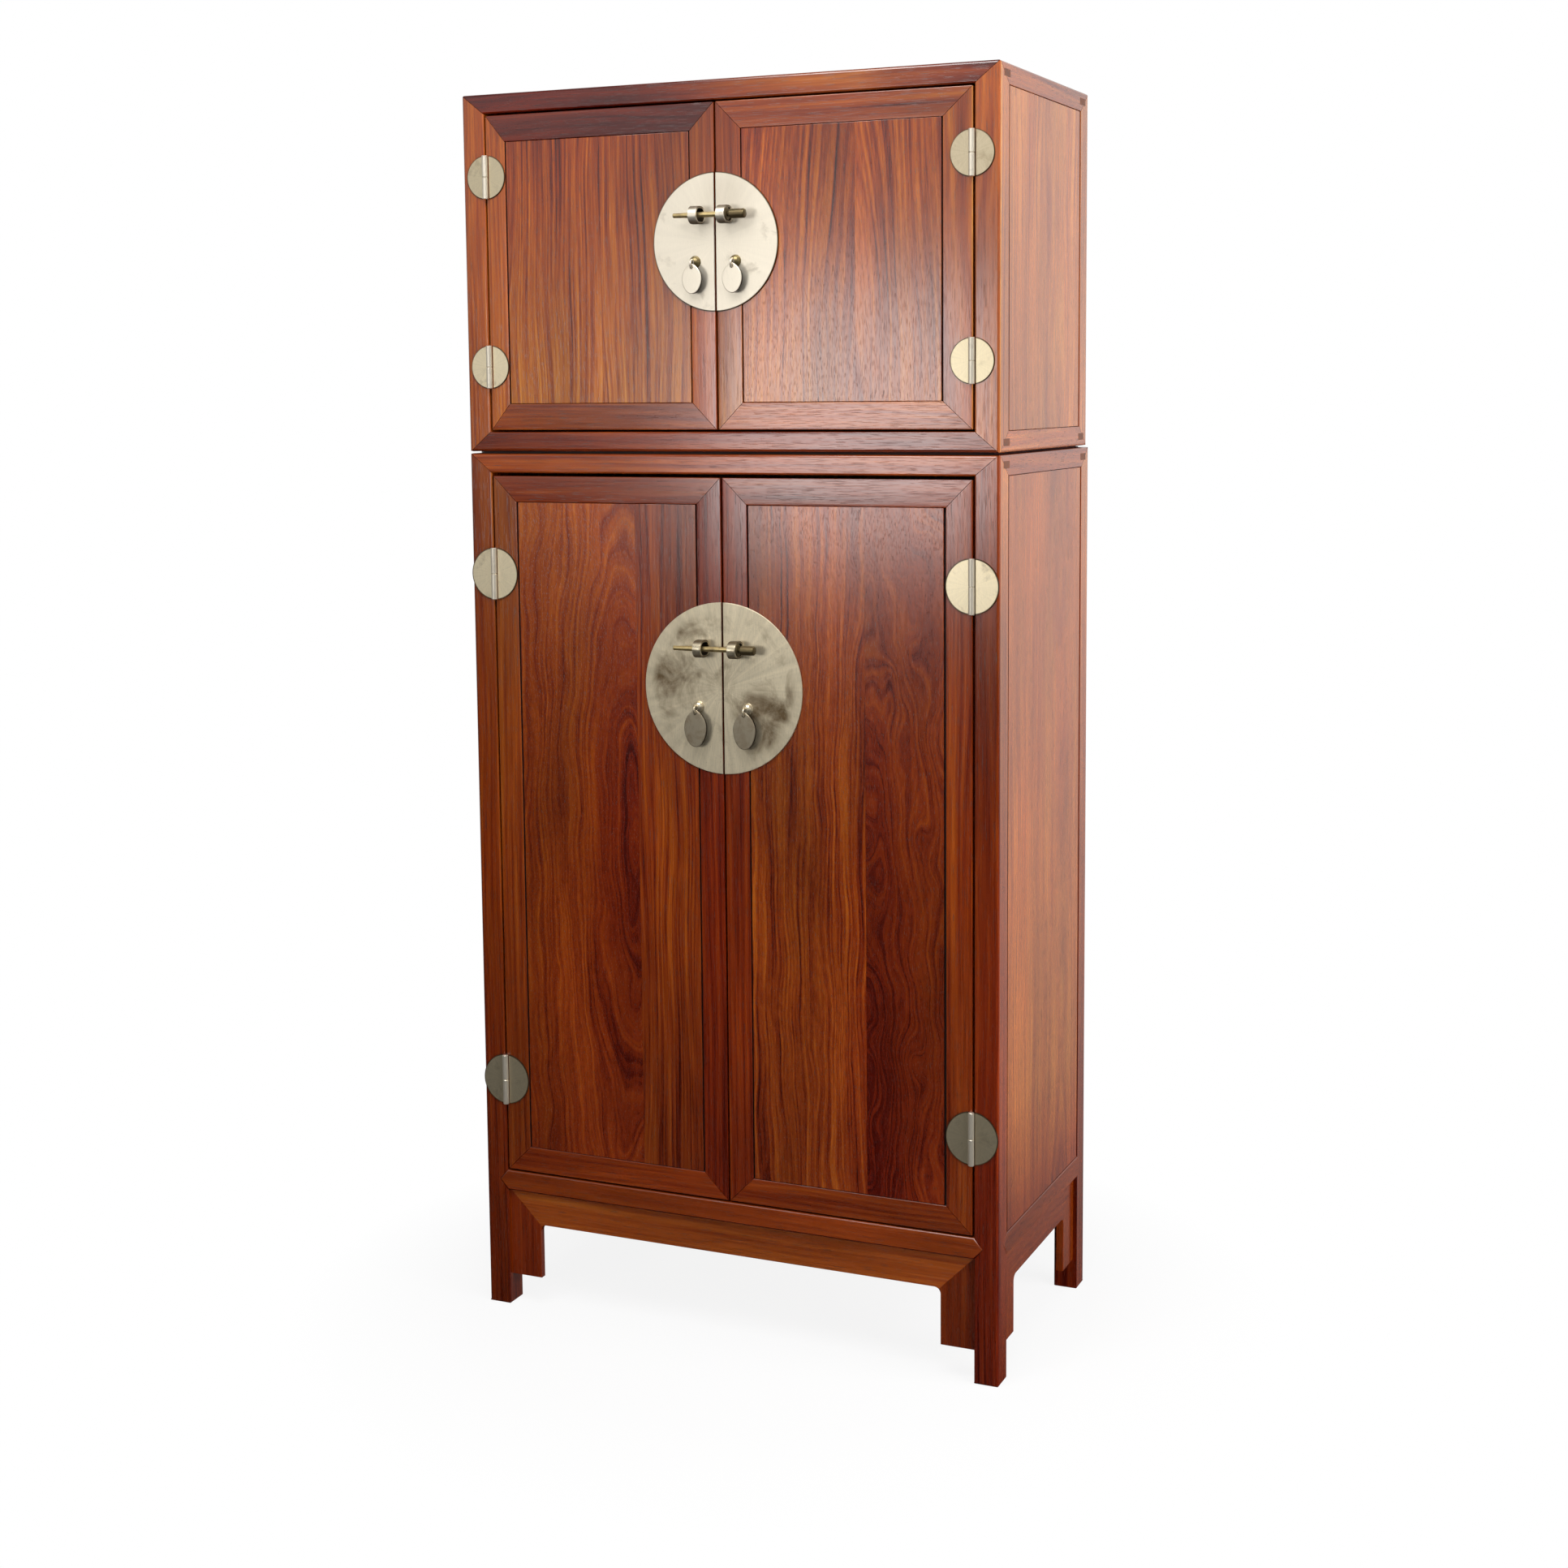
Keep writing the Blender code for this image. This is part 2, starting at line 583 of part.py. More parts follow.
def staple_mesh(name):
    """A strap bent round to a U, which stands out from its plate and takes the bolt."""
    outer = STAPLE_HEIGHT / 2
    inner = outer - STAPLE_WALL
    root = FIT + PLATE_THICKNESS / 2
    bend = HARDWARE_PROUD - outer
    quarter = math.pi / 2
    outside = arc_points((bend, 0.0), outer, -quarter, quarter, 2 * ARC_STEPS)
    inside = arc_points((bend, 0.0), inner, quarter, -quarter, 2 * ARC_STEPS)
    outline = [(root, -outer), *outside, (root, outer), (root, inner), *inside, (root, -inner)]
    mesh = outline_mesh(name, [outline], STAPLE_WIDTH)
    across = Matrix(((0, 0, -1, 0), (-1, 0, 0, 0), (0, 1, 0, 0), (0, 0, 0, 1)))
    mesh.transform(across)
    return mesh


def loop_distance():
    """How far the pull's loop has its middle in front of the door's face."""
    return FIT + PLATE_THICKNESS + BOSS_HEIGHT + LOOP_RADIUS - LOOP_SINK


def lock_plate_mesh(name, side, diameter, staple_at, boss_at):
    """Half a round lock plate with its staple, its boss and the loop for the pull.

    The local origin is on the seam at the plate's middle, on the door's face. staple_at and boss_at
    are distances from the seam and heights.
    """
    plate = add_tool(name, half_disc_mesh(name, diameter / 2, -FIT, PLATE_THICKNESS, side, DOOR_GAP / 2))
    staple = add_tool(f"{name}_staple", staple_mesh(f"{name}_staple"),
                      (side * staple_at[0], 0.0, staple_at[1]))
    join(plate, staple)
    bm = bmesh.new()
    middle_y = -FIT - PLATE_THICKNESS / 2
    size = (BOSS_RADIUS, BOSS_HEIGHT + PLATE_THICKNESS / 2, BOSS_RADIUS, 1.0)
    dome = Matrix.Translation((side * boss_at[0], middle_y, boss_at[1])) @ Matrix.Diagonal(size)
    lie = Matrix.Rotation(math.pi / 2, 4, "X")
    bmesh.ops.create_uvsphere(bm, u_segments=KNUCKLE_SIDES, v_segments=KNUCKLE_SIDES // 2, radius=1.0,
                              matrix=dome @ lie)
    everything = [*bm.verts, *bm.edges, *bm.faces]
    halved = bmesh.ops.bisect_plane(bm, geom=everything, dist=MERGE_DISTANCE, plane_co=(0.0, middle_y, 0.0),
                                    plane_no=(0.0, -1.0, 0.0), clear_inner=True)
    rim = [item for item in halved["geom_cut"] if isinstance(item, bmesh.types.BMEdge)]
    bmesh.ops.edgeloop_fill(bm, edges=rim)
    join(plate, add_tool(f"{name}_boss", mesh_from(bm, f"{name}_boss")))
    bpy.ops.mesh.primitive_torus_add(major_radius=LOOP_RADIUS, minor_radius=LOOP_WIRE_RADIUS,
                                     major_segments=KNUCKLE_SIDES, minor_segments=KNUCKLE_SIDES // 2)
    ring = bpy.context.object
    ring_mesh = ring.data
    bpy.data.objects.remove(ring, do_unlink=True)
    ring_mesh.transform(Matrix.Rotation(math.pi / 2, 4, "Y"))
    loop_place = (side * boss_at[0], -loop_distance(), boss_at[1] - LOOP_DROP)
    join(plate, add_tool(f"{name}_loop", ring_mesh, loop_place))
    return bake(plate)


def pendant_mesh(name, length, width):
    """A thick drop-shaped pendant with a hole near its point, hung from the local origin."""
    middle = PENDANT_TIP_RISE - length / 2
    outline = []
    for step in range(2 * PENDANT_STEPS):
        turn = math.pi * step / PENDANT_STEPS
        pinch = 1.0 + PENDANT_PINCH * math.cos(turn / 2) ** 2
        across = math.copysign(abs(math.sin(turn)) ** pinch, math.sin(turn))
        outline.append((width / 2 * across, middle + length / 2 * math.cos(turn)))
    hole_z = PENDANT_HOLE_RADIUS - LOOP_RADIUS - LOOP_WIRE_RADIUS - FIT
    hole = arc_points((0.0, hole_z), PENDANT_HOLE_RADIUS, 0.0, 2 * math.pi, HOLE_STEPS)[:-1]
    return outline_mesh(name, [outline, hole], PENDANT_THICKNESS)


def bolt_mesh(name, tail, stub, staple_from_seam):
    """A turned bolt along X: a thin tail, a rod, a collar that fills its staple and a stub to pull by.

    The local origin is on the bolt's axis at the seam.
    """
    collar_radius = STAPLE_HEIGHT / 2 - STAPLE_WALL - BOLT_COLLAR_CLEARANCE
    half = STAPLE_WIDTH / 2 + BOLT_COLLAR_OVERHANG
    collar = (staple_from_seam - half, staple_from_seam + half)
    neck = BOLT_ROD_RADIUS
    profile = [(-tail, 0.0), (-tail, BOLT_TAIL_RADIUS), (-staple_from_seam, neck), (collar[0], neck),
               (collar[0], collar_radius), (collar[1], collar_radius), (collar[1], BOLT_STUB_RADIUS),
               (stub, BOLT_STUB_RADIUS), (stub, 0.0)]
    bm = bmesh.new()
    points = [bm.verts.new((x, 0.0, radius)) for x, radius in profile]
    for first, second in zip(points, points[1:]):
        bm.edges.new((first, second))
    mesh = bpy.data.meshes.new(name)
    bm.to_mesh(mesh)
    bm.free()
    turned = add_tool(name, mesh)
    screw = turned.modifiers.new("turn", "SCREW")
    screw.axis = "X"
    screw.steps = KNUCKLE_SIDES
    screw.render_steps = KNUCKLE_SIDES
    screw.use_merge_vertices = True
    screw.merge_threshold = MERGE_DISTANCE
    graph = bpy.context.evaluated_depsgraph_get()
    raw = bpy.data.meshes.new_from_object(turned.evaluated_get(graph))
    bpy.data.objects.remove(turned, do_unlink=True)
    bm = bmesh.new()
    bm.from_mesh(raw)
    bmesh.ops.remove_doubles(bm, verts=bm.verts, dist=MERGE_DISTANCE)
    return mesh_from(bm, name)


def make_door(case, side, seam_x, outer_stile, top_gap, case_axis):
    """One door's frame and panel, on an axis at its outer edge. Returns the axis."""
    side_name = "right" if side > 0 else "left"
    name = f"{case.name}_{side_name}_door"
    axis = add_axis(f"{name}_axis", (side * DOOR_EDGE_X, HINGE_AXIS_Y, case.base_rail_top), case_axis)
    outer_x = side * DOOR_EDGE_X
    meeting_x = seam_x + side * DOOR_GAP / 2
    low_z = case.base_rail_top + DOOR_GAP
    high_z = case.top_rail_z - top_gap
    x_low, x_high = sorted((outer_x, meeting_x))
    back_y = FRONT_Y + DOOR_THICKNESS
    frame = box_part(f"{name}_frame", (x_low, FRONT_Y, low_z), (x_high, back_y, high_z), "frame_wood", axis)
    panel_low, panel_high = sorted((outer_x - side * outer_stile, meeting_x + side * MEETING_STILE))
    opening = (panel_high - panel_low, high_z - low_z - 2 * DOOR_RAIL)
    hole = box_tool(f"{name}_opening", (panel_low, FRONT_Y - DOOR_THICKNESS, low_z + DOOR_RAIL),
                    (panel_high, back_y + DOOR_THICKNESS, high_z - DOOR_RAIL))
    cut([frame], hole)
    middle = ((panel_low + panel_high) / 2, FRONT_Y, (low_z + high_z) / 2)
    add_panel(f"{name}_panel", middle, FACE_FRONT, opening, "panel_wood", [frame], axis)
    return axis


def make_hinges(case, side, diameter, from_top, from_bottom, case_axis, door_axis):
    """Two face hinges: a leaf on the post and a leaf on the door for each."""
    side_name = "right" if side > 0 else "left"
    brass = "pale_brass"
    post_mesh = hinge_leaf_mesh(f"{case.name}_{side_name}_post_leaf", diameter, side, True)
    door_mesh = hinge_leaf_mesh(f"{case.name}_{side_name}_door_leaf", diameter, -side, False)
    for level, z in (("top", case.top_rail_z - from_top), ("bottom", case.base_rail_top + from_bottom)):
        name = f"{case.name}_{side_name}_{level}_hinge"
        place = (side * DOOR_EDGE_X, HINGE_AXIS_Y, z)
        add_part(f"{name}_post_leaf", post_mesh, place, brass, axis=case_axis)
        add_part(f"{name}_door_leaf", door_mesh, place, brass, axis=door_axis)


def make_lock(case, seam_x, above_rail, diameter, staple_at, boss_at, pendant, bolt, brass, door_axes):
    """The split lock plate, its two hanging pulls and the bolt, which rides on the right door."""
    bolt_out = HARDWARE_PROUD - STAPLE_HEIGHT / 2
    plate_z = case.base_rail_top + above_rail
    for side, side_name in ((-1, "left"), (1, "right")):
        axis = door_axes[side]
        name = f"{case.name}_{side_name}"
        mesh = lock_plate_mesh(f"{name}_lock_plate", side, diameter, staple_at, boss_at)
        add_part(f"{name}_lock_plate", mesh, (seam_x, FRONT_Y, plate_z), brass, axis=axis)
        loop = (seam_x + side * boss_at[0], FRONT_Y - loop_distance(), plate_z + boss_at[1] - LOOP_DROP)
        pull_axis = add_axis(f"{name}_pull_axis", loop, axis)
        add_part(f"{name}_pull", pendant_mesh(f"{name}_pull", *pendant), loop, brass, FACE_FRONT, pull_axis)
    rest = (seam_x, FRONT_Y - bolt_out, plate_z + staple_at[1])
    bolt_axis = add_axis(f"{case.name}_bolt_axis", rest, door_axes[1])
    mesh = bolt_mesh(f"{case.name}_bolt", *bolt, staple_at[0])
    add_part(f"{case.name}_bolt", mesh, rest, "bolt_brass", axis=bolt_axis)


def make_lower_cabinet():
    posts = make_posts(LOWER, None)
    top_frame = mitred_frame("lower_top_frame", LOWER, LOWER.top_rail_z, LOWER.top, None)
    base_frame = make_base_frame(posts)
    make_case_panels(LOWER, posts, top_frame, base_frame, BASE_RAIL_EXTRA_WIDTH, None)
    make_shelf(posts)
    make_aprons(posts)
    doors = {}
    for side in (-1, 1):
        doors[side] = make_door(LOWER, side, LOWER_SEAM_X, LOWER_OUTER_STILE, LOWER_DOOR_TOP_GAP, None)
        make_hinges(LOWER, side, LOWER_HINGE_DIAMETER, LOWER_HINGE_FROM_TOP, LOWER_HINGE_FROM_BOTTOM,
                    None, doors[side])
    make_lock(LOWER, LOWER_SEAM_X, LOWER_PLATE_ABOVE_RAIL, LOWER_PLATE_DIAMETER,
              (LOWER_STAPLE_FROM_SEAM, LOWER_STAPLE_RISE), (LOWER_BOSS_FROM_SEAM, -LOWER_BOSS_DROP),
              (LOWER_PENDANT_LENGTH, LOWER_PENDANT_WIDTH), (LOWER_BOLT_TAIL, LOWER_BOLT_STUB),
              "dull_brass", doors)


def make_upper_chest():
    chest = add_axis("upper_chest_lift", (0.0, FRONT_Y + UPPER_DEPTH / 2, UPPER.bottom))
    posts = make_posts(UPPER, chest)
    top_frame = mitred_frame("upper_top_frame", UPPER, UPPER.top_rail_z, UPPER.top, chest)
    base_frame = mitred_frame("upper_base_frame", UPPER, UPPER.base_rail_top, UPPER.bottom, chest)
    make_case_panels(UPPER, posts, top_frame, base_frame, 0.0, chest)
    doors = {}
    for side, stile in ((-1, UPPER_LEFT_OUTER_STILE), (1, UPPER_RIGHT_OUTER_STILE)):
        doors[side] = make_door(UPPER, side, UPPER_SEAM_X, stile, DOOR_GAP, chest)
        make_hinges(UPPER, side, UPPER_HINGE_DIAMETER, UPPER_HINGE_FROM_TOP, UPPER_HINGE_FROM_BOTTOM,
                    chest, doors[side])
    make_lock(UPPER, UPPER_SEAM_X, UPPER_PLATE_ABOVE_RAIL, UPPER_PLATE_DIAMETER,
              (UPPER_STAPLE_FROM_SEAM, UPPER_STAPLE_RISE), (UPPER_BOSS_FROM_SEAM, -UPPER_BOSS_DROP),
              (UPPER_PENDANT_LENGTH, UPPER_PENDANT_WIDTH), (UPPER_BOLT_TAIL, UPPER_BOLT_STUB),
              "pale_brass", doors)


def main():
    start_scene()
    make_lower_cabinet()
    make_upper_chest()


main()
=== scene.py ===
"""Wood, brass and studio of a two-part compound cabinet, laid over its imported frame.

Run as a script in Blender 4.5. Every size that the frame holds is read from it.
"""

import json
import math
import random
from collections import namedtuple

import bmesh
import bpy
from bpy.props import FloatProperty, FloatVectorProperty, PointerProperty
from mathutils import Matrix, Vector


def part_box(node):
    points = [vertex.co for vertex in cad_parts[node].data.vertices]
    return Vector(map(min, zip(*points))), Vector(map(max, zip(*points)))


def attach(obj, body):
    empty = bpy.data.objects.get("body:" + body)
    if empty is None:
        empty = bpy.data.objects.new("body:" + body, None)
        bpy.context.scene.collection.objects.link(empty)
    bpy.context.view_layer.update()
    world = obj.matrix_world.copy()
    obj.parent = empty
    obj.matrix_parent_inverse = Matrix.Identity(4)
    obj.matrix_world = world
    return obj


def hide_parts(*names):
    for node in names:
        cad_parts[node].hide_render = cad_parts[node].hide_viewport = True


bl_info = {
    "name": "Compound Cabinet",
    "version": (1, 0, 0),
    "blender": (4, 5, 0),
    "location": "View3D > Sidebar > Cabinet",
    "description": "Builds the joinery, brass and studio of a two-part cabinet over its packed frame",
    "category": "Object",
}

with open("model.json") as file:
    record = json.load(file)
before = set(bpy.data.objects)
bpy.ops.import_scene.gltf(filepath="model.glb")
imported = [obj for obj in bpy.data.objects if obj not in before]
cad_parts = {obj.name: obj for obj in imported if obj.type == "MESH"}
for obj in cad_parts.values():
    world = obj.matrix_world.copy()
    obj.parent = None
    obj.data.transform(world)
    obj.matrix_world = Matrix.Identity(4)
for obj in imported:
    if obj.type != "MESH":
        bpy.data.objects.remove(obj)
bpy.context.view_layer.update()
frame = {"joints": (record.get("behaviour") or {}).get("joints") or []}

X, Y, Z = 0, 1, 2
LEFT, RIGHT = -1, 1
SIDE_NAMES = {LEFT: "left", RIGHT: "right"}

# Distances under TOUCH count as the same place; cuts and merges work at finer ones.
TOUCH = 1e-5
CUT_SNAP = 1e-7
MERGE_WITHIN = 1e-6
FULL_TURN = 2 * math.pi
QUARTER_TURN = math.pi / 2

# The slot and the material of each kind of wood.
FRAME_WOOD = ("frame_wood", "rosewood_frames")
PANEL_WOOD = ("panel_wood", "rosewood_panels")
INNER_WOOD = ("inner_wood", "plain_inner_boards")

# Panels: the tongue round each panel and how far the two faces stand out from it.
TONGUE = 0.008
FACE_RISE = 0.0070
BACK_RISE = 0.0025
PANEL_CLEARANCE = 0.0005
GLUE_LINE = 0.00012

# How far a case's panel has shrunk back from the groove at its two sides, and the widths of its boards.
# The plain ones also say which face they show and which way their grain runs.
SIDE_PANEL_GAPS = (0.0052, 0.0030)
SIDE_PANEL_BOARDS = (1.0,)
PLAIN_PANEL_GAPS = (0.0003, 0.0003)
PLAIN_PANELS = (
    ("back", (Y, 1), Z, (0.24, 0.27, 0.23, 0.26)),
    ("top", (Z, 1), X, (0.36, 0.34, 0.30)),
    ("floor", (Z, 1), X, (0.32, 0.36, 0.32)),
)

# Shelf: the share of its depth at which its two boards meet, and the radius of its front arrises.
SHELF_JOINT = 0.54
SHELF_ARRIS = 0.0025

# Doors: the cuts across each member's face that let it fall away from its middle.
CROWN_CUTS = 9

# Shadow gap between the two cases: the rebate's height in each rail, by the way the rail runs, its depth
# and how far in its painted shade starts.
REBATE_HEIGHT = {X: 0.0022, Y: 0.0016}
REBATE_DEPTH = 0.016
REBATE_SHADE_FROM = 0.0045

# Through tenons: how far from the corner each starts and ends, its depth, half its height, how far its end
# stands proud and how far the rim is eased.
TENON_NEAR = 0.020
TENON_FAR = 0.054
TENON_DEPTH = 0.012
TENON_HALF = 0.0065
TENON_PROUD = 0.0002
TENON_EASE = 0.0004

# Base rail: the face board with pointed ends, the room round it in the posts, and the rail behind it.
ARROW_LENGTH = 0.017
ARROW_DEPTH = 0.014
ARROW_PROUD = 0.0006
ARROW_ROOM = 0.0003
FRONT_ARROW_ARRIS = 0.0028
SIDE_ARROW_ARRIS = 0.0012
BASE_RAIL_DEPTH = 0.062
BASE_RAIL_EASE = 0.0008

# The painted shadow line along the foot of the front base rail's face, under its rounded edge: its height and
# its tone.
FOOT_LINE = 0.0025
FOOT_SHADOW_TONE = 0.20

# Aprons under the base rail.
APRON_TONGUE = 0.006
APRON_ARCH = 0.168
SPANDREL_WIDTH = 0.067
APRON_CORNER = 0.012
APRON_ARRIS = 0.0016
APRON_MITRE_GAP = 0.00015

# Round plates of the hinges and the locks.
PLATE_THICKNESS = 0.002
PLATE_EASE = 0.0010
HINGE_SEGMENTS = 96
LOCK_SEGMENTS = 160

# Hinges: the barrel, and how far the leaves' straight edges stand off its axis. Bolts are eased alike.
KNUCKLE_RADIUS = 0.0056
BARREL_INSET = 0.0004
BARREL_GAP = 0.0002
TURNED_EASE = 0.0008
LEAF_FROM_AXIS = 0.0063

# Staples: the bent strap, and how far out its points count, as lay_reach says: inside the eye, which is
# painted in shade, in front, and how much more at its top and foot, where the painted shade deepens.
STAPLE_HEIGHT = 0.032
STAPLE_WIDTH = 0.0165
STAPLE_WALL = 0.0045
STAPLE_SINK = 0.001
STAPLE_EASE = 0.0007
STAPLE_BEND_STEPS = 14
EYE_SLACK = 0.0004
EYE_SHADE_REACH = 1.06
STAPLE_REACH = 0.972
STAPLE_SHADE_RISE = 0.020

# Bosses: a low rim with a dome on it, and the loop that stands in the dome.
BOSS_RADIUS = 0.011
BOSS_HEIGHT = 0.009
BOSS_RIM = 0.0010
BOSS_FOOT = 0.0015
BOSS_STEP = 0.0005
DOME_RADIUS = 0.0102
DOME_ANGLES = range(0, 91, 10)
LOOP_RADIUS = 0.007
LOOP_WIRE = 0.002
LOOP_DROP = 0.004
LOOP_SINK = 0.002
LOOP_STEPS = 36
WIRE_SEGMENTS = 14

# Pulls: the drop, the hole near its point, and how far behind its face the painted shade on its sides starts.
PENDANT_STEPS = 48
PENDANT_RISE = 0.0008
PENDANT_PINCH = 0.55
PENDANT_EASE = 0.0012
PENDANT_HOLE = 0.0034
HOLE_PLAY = 0.0003
HOLE_SLACK = 0.0006
PENDANT_SHADE_FROM = 0.0011
PENDANT_SHADE_REACH = 1.2

# Bolts: the radii, how far the collar stands past the staple, the neck behind it, and the stub's end as
# pairs of distance from the end and drop.
BOLT_ROD = 0.0048
BOLT_TAIL = 0.0042
BOLT_COLLAR = 0.0111
BOLT_STUB = 0.0086
COLLAR_OVERHANG = 0.0015
NECK_LENGTH = 0.003
NECK_RISE = 0.0005
STUB_FROM = 0.0055
STUB_END = ((0.0025, 0.0), (0.0006, 0.0012), (0.0, 0.003))

# Where the lower plate is darkest: across, up and radius, as shares of the plate's own radius.
PLATE_SHADES = ((-0.66, 0.10, 0.52), (0.56, -0.34, 0.52), (-0.44, 0.70, 0.30))

# Where the upper plate is a little dull, in the same way.
PLATE_BLOOM = (0.18, 0.70, 0.52)

# The share of such a patch's radius within which it is full.
PATCH_CORE = 0.25

# Each brass: the setting with its colour, the size of its patches of tarnish and where they start and
# end, its roughness, its wear, its share of bare metal, the share of its radius that its dark rim of tarnish
# and painted edge shadow takes, how dull the upper plate's bloom is, and whether it has the dark sides and
# the clean band of the lower plate.
Brass = namedtuple("Brass", "ground patch patch_from patch_to roughness wear metal rim bloom ringed")
BRASSES = {
    "rubbed_pale_brass": Brass("pale_brass", 0.050, 0.60, 1.00, 0.40, 0.25, 0.84, 0.020, 0.17, False),
    "rubbed_hinge_brass": Brass("hinge_brass", 0.030, 0.56, 0.95, 0.36, 0.45, 0.91, 0.050, 0.0, False),
    "bright_hinge_metal": Brass("bright_hinge", 0.030, 0.56, 0.95, 0.36, 0.45, 0.91, 0.050, 0.0, False),
    "dull_hinge_metal": Brass("dull_hinge", 0.030, 0.56, 0.95, 0.36, 0.60, 0.91, 0.050, 0.0, False),
    "lower_plate_brass": Brass("dull_brass", 0.055, 0.42, 0.76, 0.40, 1.00, 0.84, 0.0, 0.0, True),
    "rubbed_dull_brass": Brass("dull_brass", 0.030, 0.48, 0.78, 0.28, 0.80, 0.84, 0.020, 0.0, False),
    "dark_pull_brass": Brass("pull_brass", 0.030, 0.48, 0.78, 0.32, 0.80, 0.84, 0.020, 0.0, False),
    "olive_boss_brass": Brass("boss_brass", 0.020, 0.48, 0.80, 0.30, 0.80, 0.84, 0.0, 0.0, False),
    "rubbed_bolt_brass": Brass("bolt_brass", 0.020, 0.48, 0.80, 0.30, 0.80, 0.84, 0.0, 0.0, False),
    "dark_stub_brass": Brass("stub_brass", 0.020, 0.42, 0.80, 0.36, 0.80, 0.84, 0.0, 0.0, False),
}

# The hinges whose brass is set brighter or duller than the others'.
HINGE_METALS = {
    "upper_right_top_hinge": "dull_hinge_metal",
    "upper_left_bottom_hinge": "bright_hinge_metal",
    "lower_left_top_hinge": "bright_hinge_metal",
    "lower_right_top_hinge": "bright_hinge_metal",
}

Case = namedtuple("Case", "name body low high post base_low base_high top_low")
Log = namedtuple("Log", "across along tilt depth")
Lock = namedtuple("Lock", "staple_out staple_up boss_out boss_up slot")

LOCKS = {
    "lower": Lock(0.0345, 0.075, 0.0495, -0.0355, "dull_brass"),
    "upper": Lock(0.0275, 0.047, 0.040, -0.0347, "pale_brass"),
}

# Where the heart of the tree lies for the boards whose figure is bold: distance across from the
# board's middle, height, tilt of the heart against the face, and depth behind the face.
BOARD_LOGS = {
    "lower_left_door_board_1": Log(0.118, 0.94, 0.170, 0.006),
    "lower_left_door_board_2": Log(0.420, 0.90, 0.020, 0.060),
    "lower_right_door_board_1": Log(0.190, 1.10, 0.110, 0.030),
    "lower_right_door_board_2": Log(-0.090, 0.85, 0.120, 0.050),
    "upper_left_door_board_1": Log(0.330, 2.00, 0.050, 0.090),
    "upper_left_door_board_2": Log(-0.260, 2.00, 0.030, 0.090),
    "upper_right_door_board_1": Log(0.150, 2.35, 0.090, 0.090),
    "upper_right_door_board_2": Log(-0.120, 1.90, 0.060, 0.090),
}

# The ranges that the same four are drawn from for every other piece, and how far along its tree it may lie.
PLAIN_LOG = Log((0.05, 0.30), (0.0, 2.3), (-0.015, 0.015), (0.12, 0.22))
TREE_LENGTH = 60.0

# How wild the figure of a board is, from 0 for straight grain.
BURLS = {"lower_left_door_board_1": 0.22, "lower_right_door_board_1": 0.12, "lower_right_door_board_2": 0.55}

# How bold the figure of a piece is, with 1 for the boldest. Keys fit as those of TONES do.
BOLDNESS = {
    "lower_": 0.85,
    "lower_left_door_board_1": 0.62,
    "lower_right_door_board_2": 0.60,
    "lower_side_panel": 0.45,
    "upper_side_panel": 0.58,
    "front_apron": 0.65,
    "side_apron": 0.60,
    "base_rail": 0.35,
}

# How dark each piece of rosewood is against the others, at the start and the end of its grain. A key
# fits every piece whose name it starts, and the longest key that fits is used.
TONES = {
    "lower_": (0.76, 0.80),
    "upper_": (1.14, 1.14),
    "upper_side_panel": (1.30, 1.40),
    "lower_post": (0.42, 0.82),
    "lower_post_front_left": (0.62, 0.90),
    "lower_top_frame": (0.95, 0.95),
    "front_apron": (1.05, 1.05),
    "front_apron_spandrel": (0.62, 0.66),
    "base_rail": (0.84, 0.84),
    "side_apron": (0.80, 0.80),
    "upper_left_door_top_rail": (0.40, 0.32),
    "upper_left_door_bottom_rail": (1.00, 0.90),
    "upper_left_door_right_stile": (0.92, 0.95),
    # The upper doors' boards and the right door's left stile are lighter at the foot, partly as wood and
    # partly as a painted highlight where the front softbox's sheen falls.
    "upper_left_door_board": (1.38, 0.80),
    "upper_right_door_top_rail": (0.78, 1.02),
    "upper_right_door_left_stile": (1.55, 0.80),
    "upper_right_door_right_stile": (0.92, 1.14),
    "upper_right_door_board_1": (1.45, 0.78),
    "upper_right_door_board_2": (1.20, 0.80),
    "upper_base_frame_front_rail": (0.75, 0.75),
    "lower_left_door_left_stile": (0.78, 1.16),
    "lower_left_door_board": (0.72, 0.80),
    "lower_left_door_board_1": (0.66, 0.98),
    "lower_right_door_board_1": (0.80, 0.92),
    "lower_right_door_board_2": (0.52, 0.80),
    "lower_right_door_left_stile": (0.60, 0.62),
    "lower_left_door_right_stile": (0.48, 0.58),
}

# Pieces whose tone changes unevenly along their grain: pairs of place and tone, from the foot up or from
# the left.
TONE_STOPS = {
    "lower_side_panel": ((0.27, 0.74), (0.36, 1.05), (0.50, 1.36), (0.80, 1.28), (1.10, 1.18), (1.65, 1.20)),
    "upper_top_frame_front_rail": ((-0.53, 0.24), (-0.265, 0.33), (0.0, 0.80), (0.27, 1.25), (0.42, 0.72),
                                   (0.53, 0.42)),
}

# The tones of the posts' outer sides, at the foot and at the head.
POST_SIDE_TONES = {"lower": (0.60, 1.50), "upper": (1.35, 1.45)}

# The red that the tones are measured by.
GROUND_RED = 0.23

# The tone of the painted shade in a groove, how far behind a panel's face it starts, by the axis that the
# face looks along, and how far past the tongue it still counts.
GROOVE_SHADE_TONE = 0.10
GROOVE_FROM = {X: 0.0002, Y: 0.0008, Z: 0.0008}
GROOVE_SLACK = 0.001

# The painted shade on the wall of a door member's groove: where it starts and ends behind the face, and where
# it is cut so that it has points.
DOOR_GROOVE_FROM = 0.0012
DOOR_GROOVE_TO = 0.0075
DOOR_GROOVE_CUT = 0.0065

# The tone of the painted highlight along the upper front posts' outer arris, and the share of the arris that
# it takes.
ARRIS_HIGHLIGHT_TONE = 2.60
ARRIS_HIGHLIGHT_SHARE = 0.09

